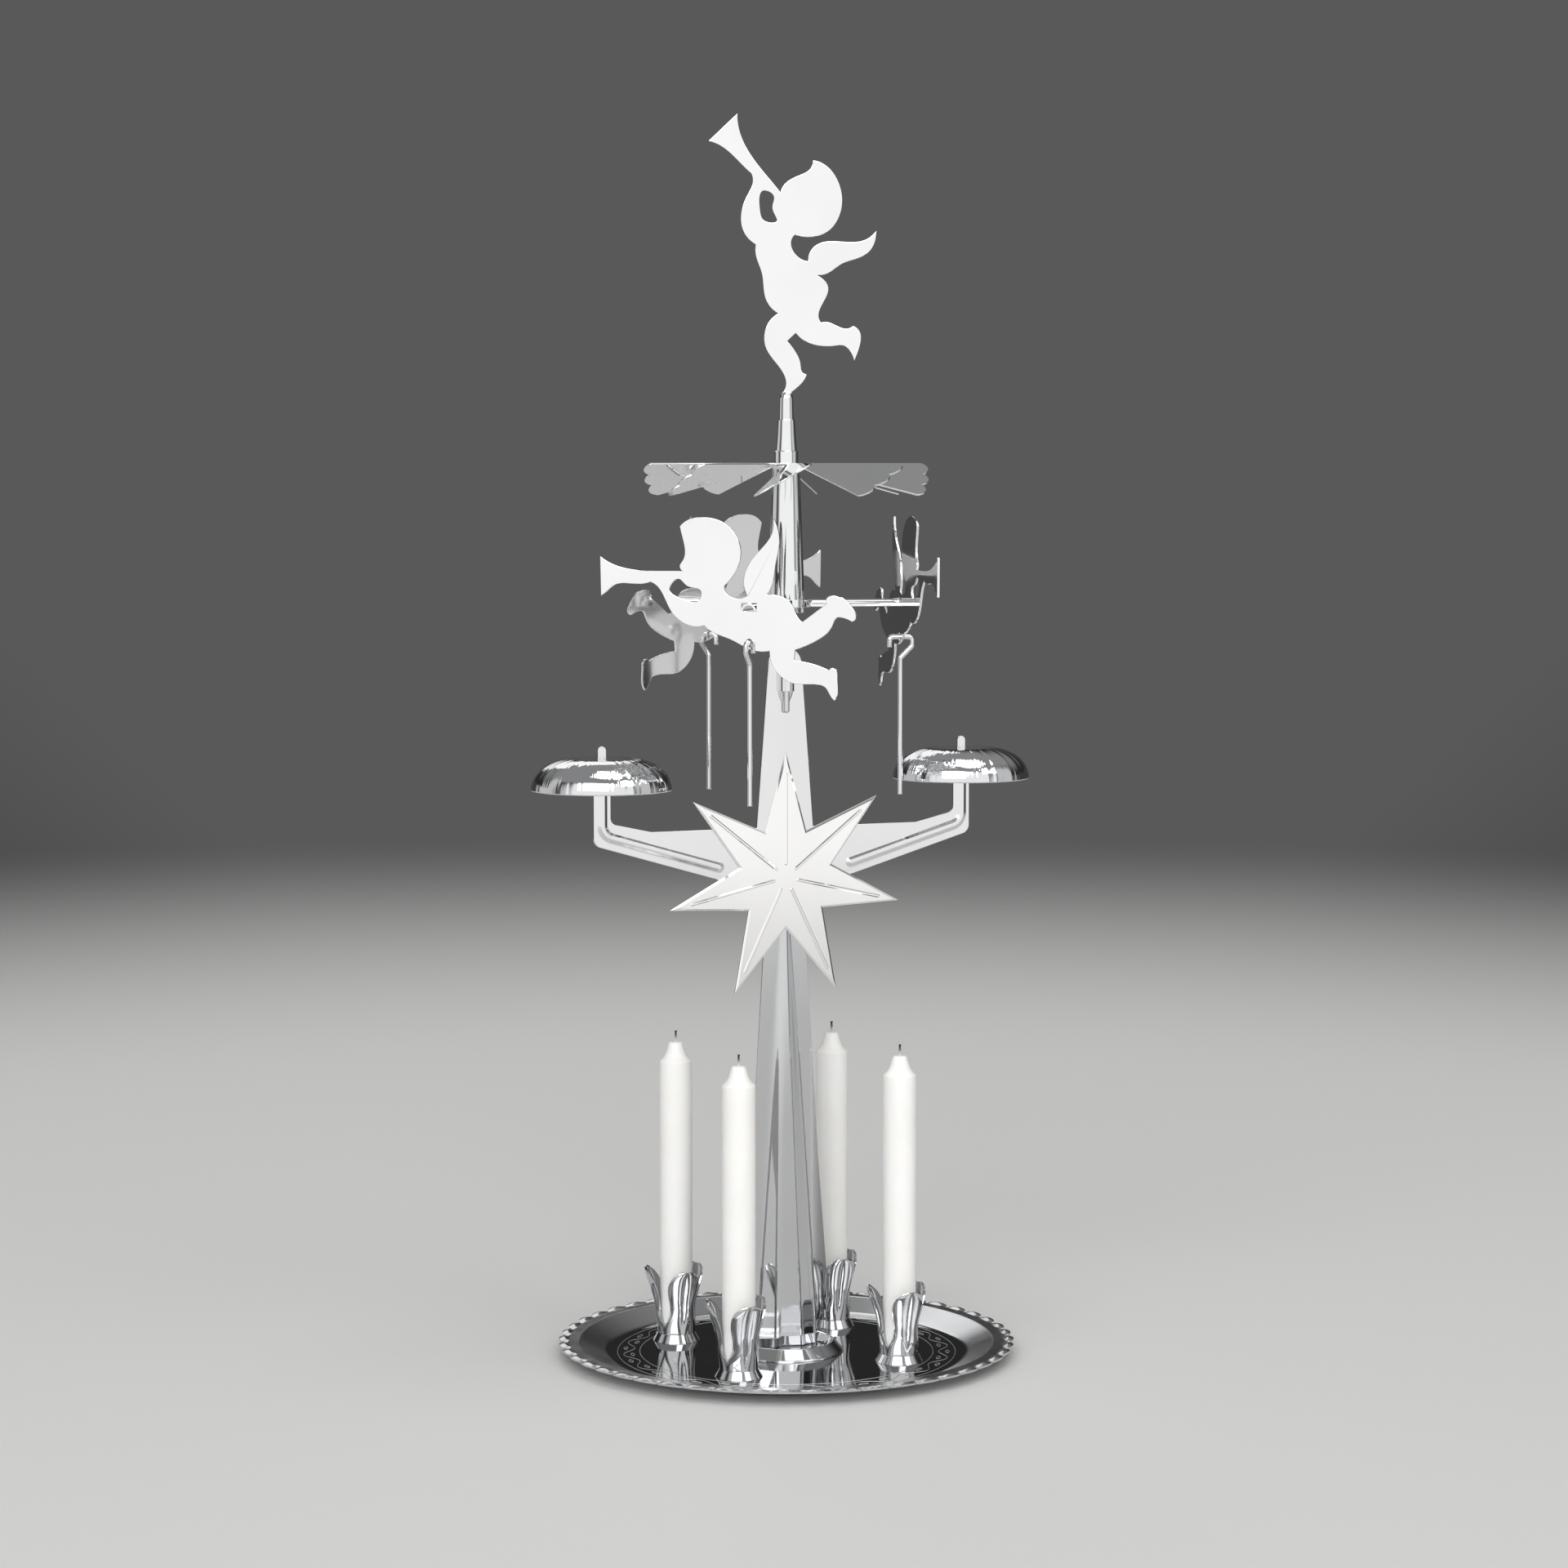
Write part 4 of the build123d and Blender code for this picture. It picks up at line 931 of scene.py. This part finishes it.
def room_step(reading, span, tones=(0.0, 1.0)):
    """Pass smoothly from one tone to another as a reading of the direction crosses a span."""
    step = room_nodes.new("ShaderNodeMapRange")
    step.interpolation_type = "SMOOTHSTEP"
    step.inputs["From Min"].default_value = min(span)
    step.inputs["From Max"].default_value = max(span)
    step.inputs["To Min"].default_value = tones[0]
    step.inputs["To Max"].default_value = tones[1]
    room_links.new(reading, step.inputs["Value"])
    return step.outputs["Result"]


def room_join(operation, first, second):
    """Join two shares of the ceiling by one sum."""
    join = room_nodes.new("ShaderNodeMath")
    join.operation = operation
    room_links.new(first, join.inputs[0])
    room_links.new(second, join.inputs[1])
    return join.outputs["Value"]


room_height = room_split.outputs["Z"]
behind = room_step(room_front.outputs["Value"], rear_side, (1.0, 0.0))
over_low_wall = room_join("MULTIPLY", room_step(room_height, low_wall), behind)
ceiling_share = room_join("MAXIMUM", over_low_wall, room_step(room_height, high_wall))
room_mix = room_nodes.new("ShaderNodeMix")
room_mix.data_type = "RGBA"
room_links.new(ceiling_share, room_mix.inputs["Factor"])
near_tone = wall_tone(world.node_tree, room_place.outputs["Generated"])
room_links.new(near_tone, room_mix.inputs[6])
room_links.new(room_step(room_height, ceiling_rise, ceiling_tones), room_mix.inputs[7])
room_links.new(room_mix.outputs[2], room_nodes["Background"].inputs["Color"])


def soft_box(name, place, aim, width, height, power):
    """Hang one broad lamp that faces the object."""
    lamp = bpy.data.lights.new(name, "AREA")
    lamp.shape = "RECTANGLE"
    lamp.size = width
    lamp.size_y = height
    lamp.energy = power
    holder = bpy.data.objects.new(name, lamp)
    holder.location = place
    holder.rotation_euler = (Vector(aim) - Vector(place)).to_track_quat("-Z", "Y").to_euler()
    bpy.context.scene.collection.objects.link(holder)


soft_box("key_box", place=(-1.0, -1.5, 1.3), aim=(0, 0, 0.15), width=1.8, height=1.4, power=22)
soft_box("front_box", place=(0.9, -1.4, 1.7), aim=(0, 0, 0.15), width=1.0, height=1.0, power=5)
soft_box("top_box", place=(0.2, -0.2, 1.8), aim=(0, 0, 0.1), width=1.0, height=1.0, power=6)
soft_box("back_box", place=(0.25, 1.5, 1.0), aim=(0, 0, 0), width=0.8, height=0.8, power=2)

# Camera: at the height of the fan, turned to the left of the star and tipped down a little. It takes in the
# whole object with room all round.
camera_reach = 1.027
camera_height = 0.240
camera_yaw = radians(0.036)
camera_tip = radians(4.80)
lens = bpy.data.cameras.new("camera")
lens.sensor_width = 36.0
lens.lens = 88.8
camera = bpy.data.objects.new("camera", lens)
camera.location = (camera_reach * sin(camera_turn), -camera_reach * cos(camera_turn), camera_height)
camera.rotation_euler = (pi / 2 - camera_tip, 0, camera_turn + camera_yaw)
bpy.context.scene.collection.objects.link(camera)
bpy.context.scene.camera = camera
bpy.context.scene.view_settings.view_transform = "Standard"
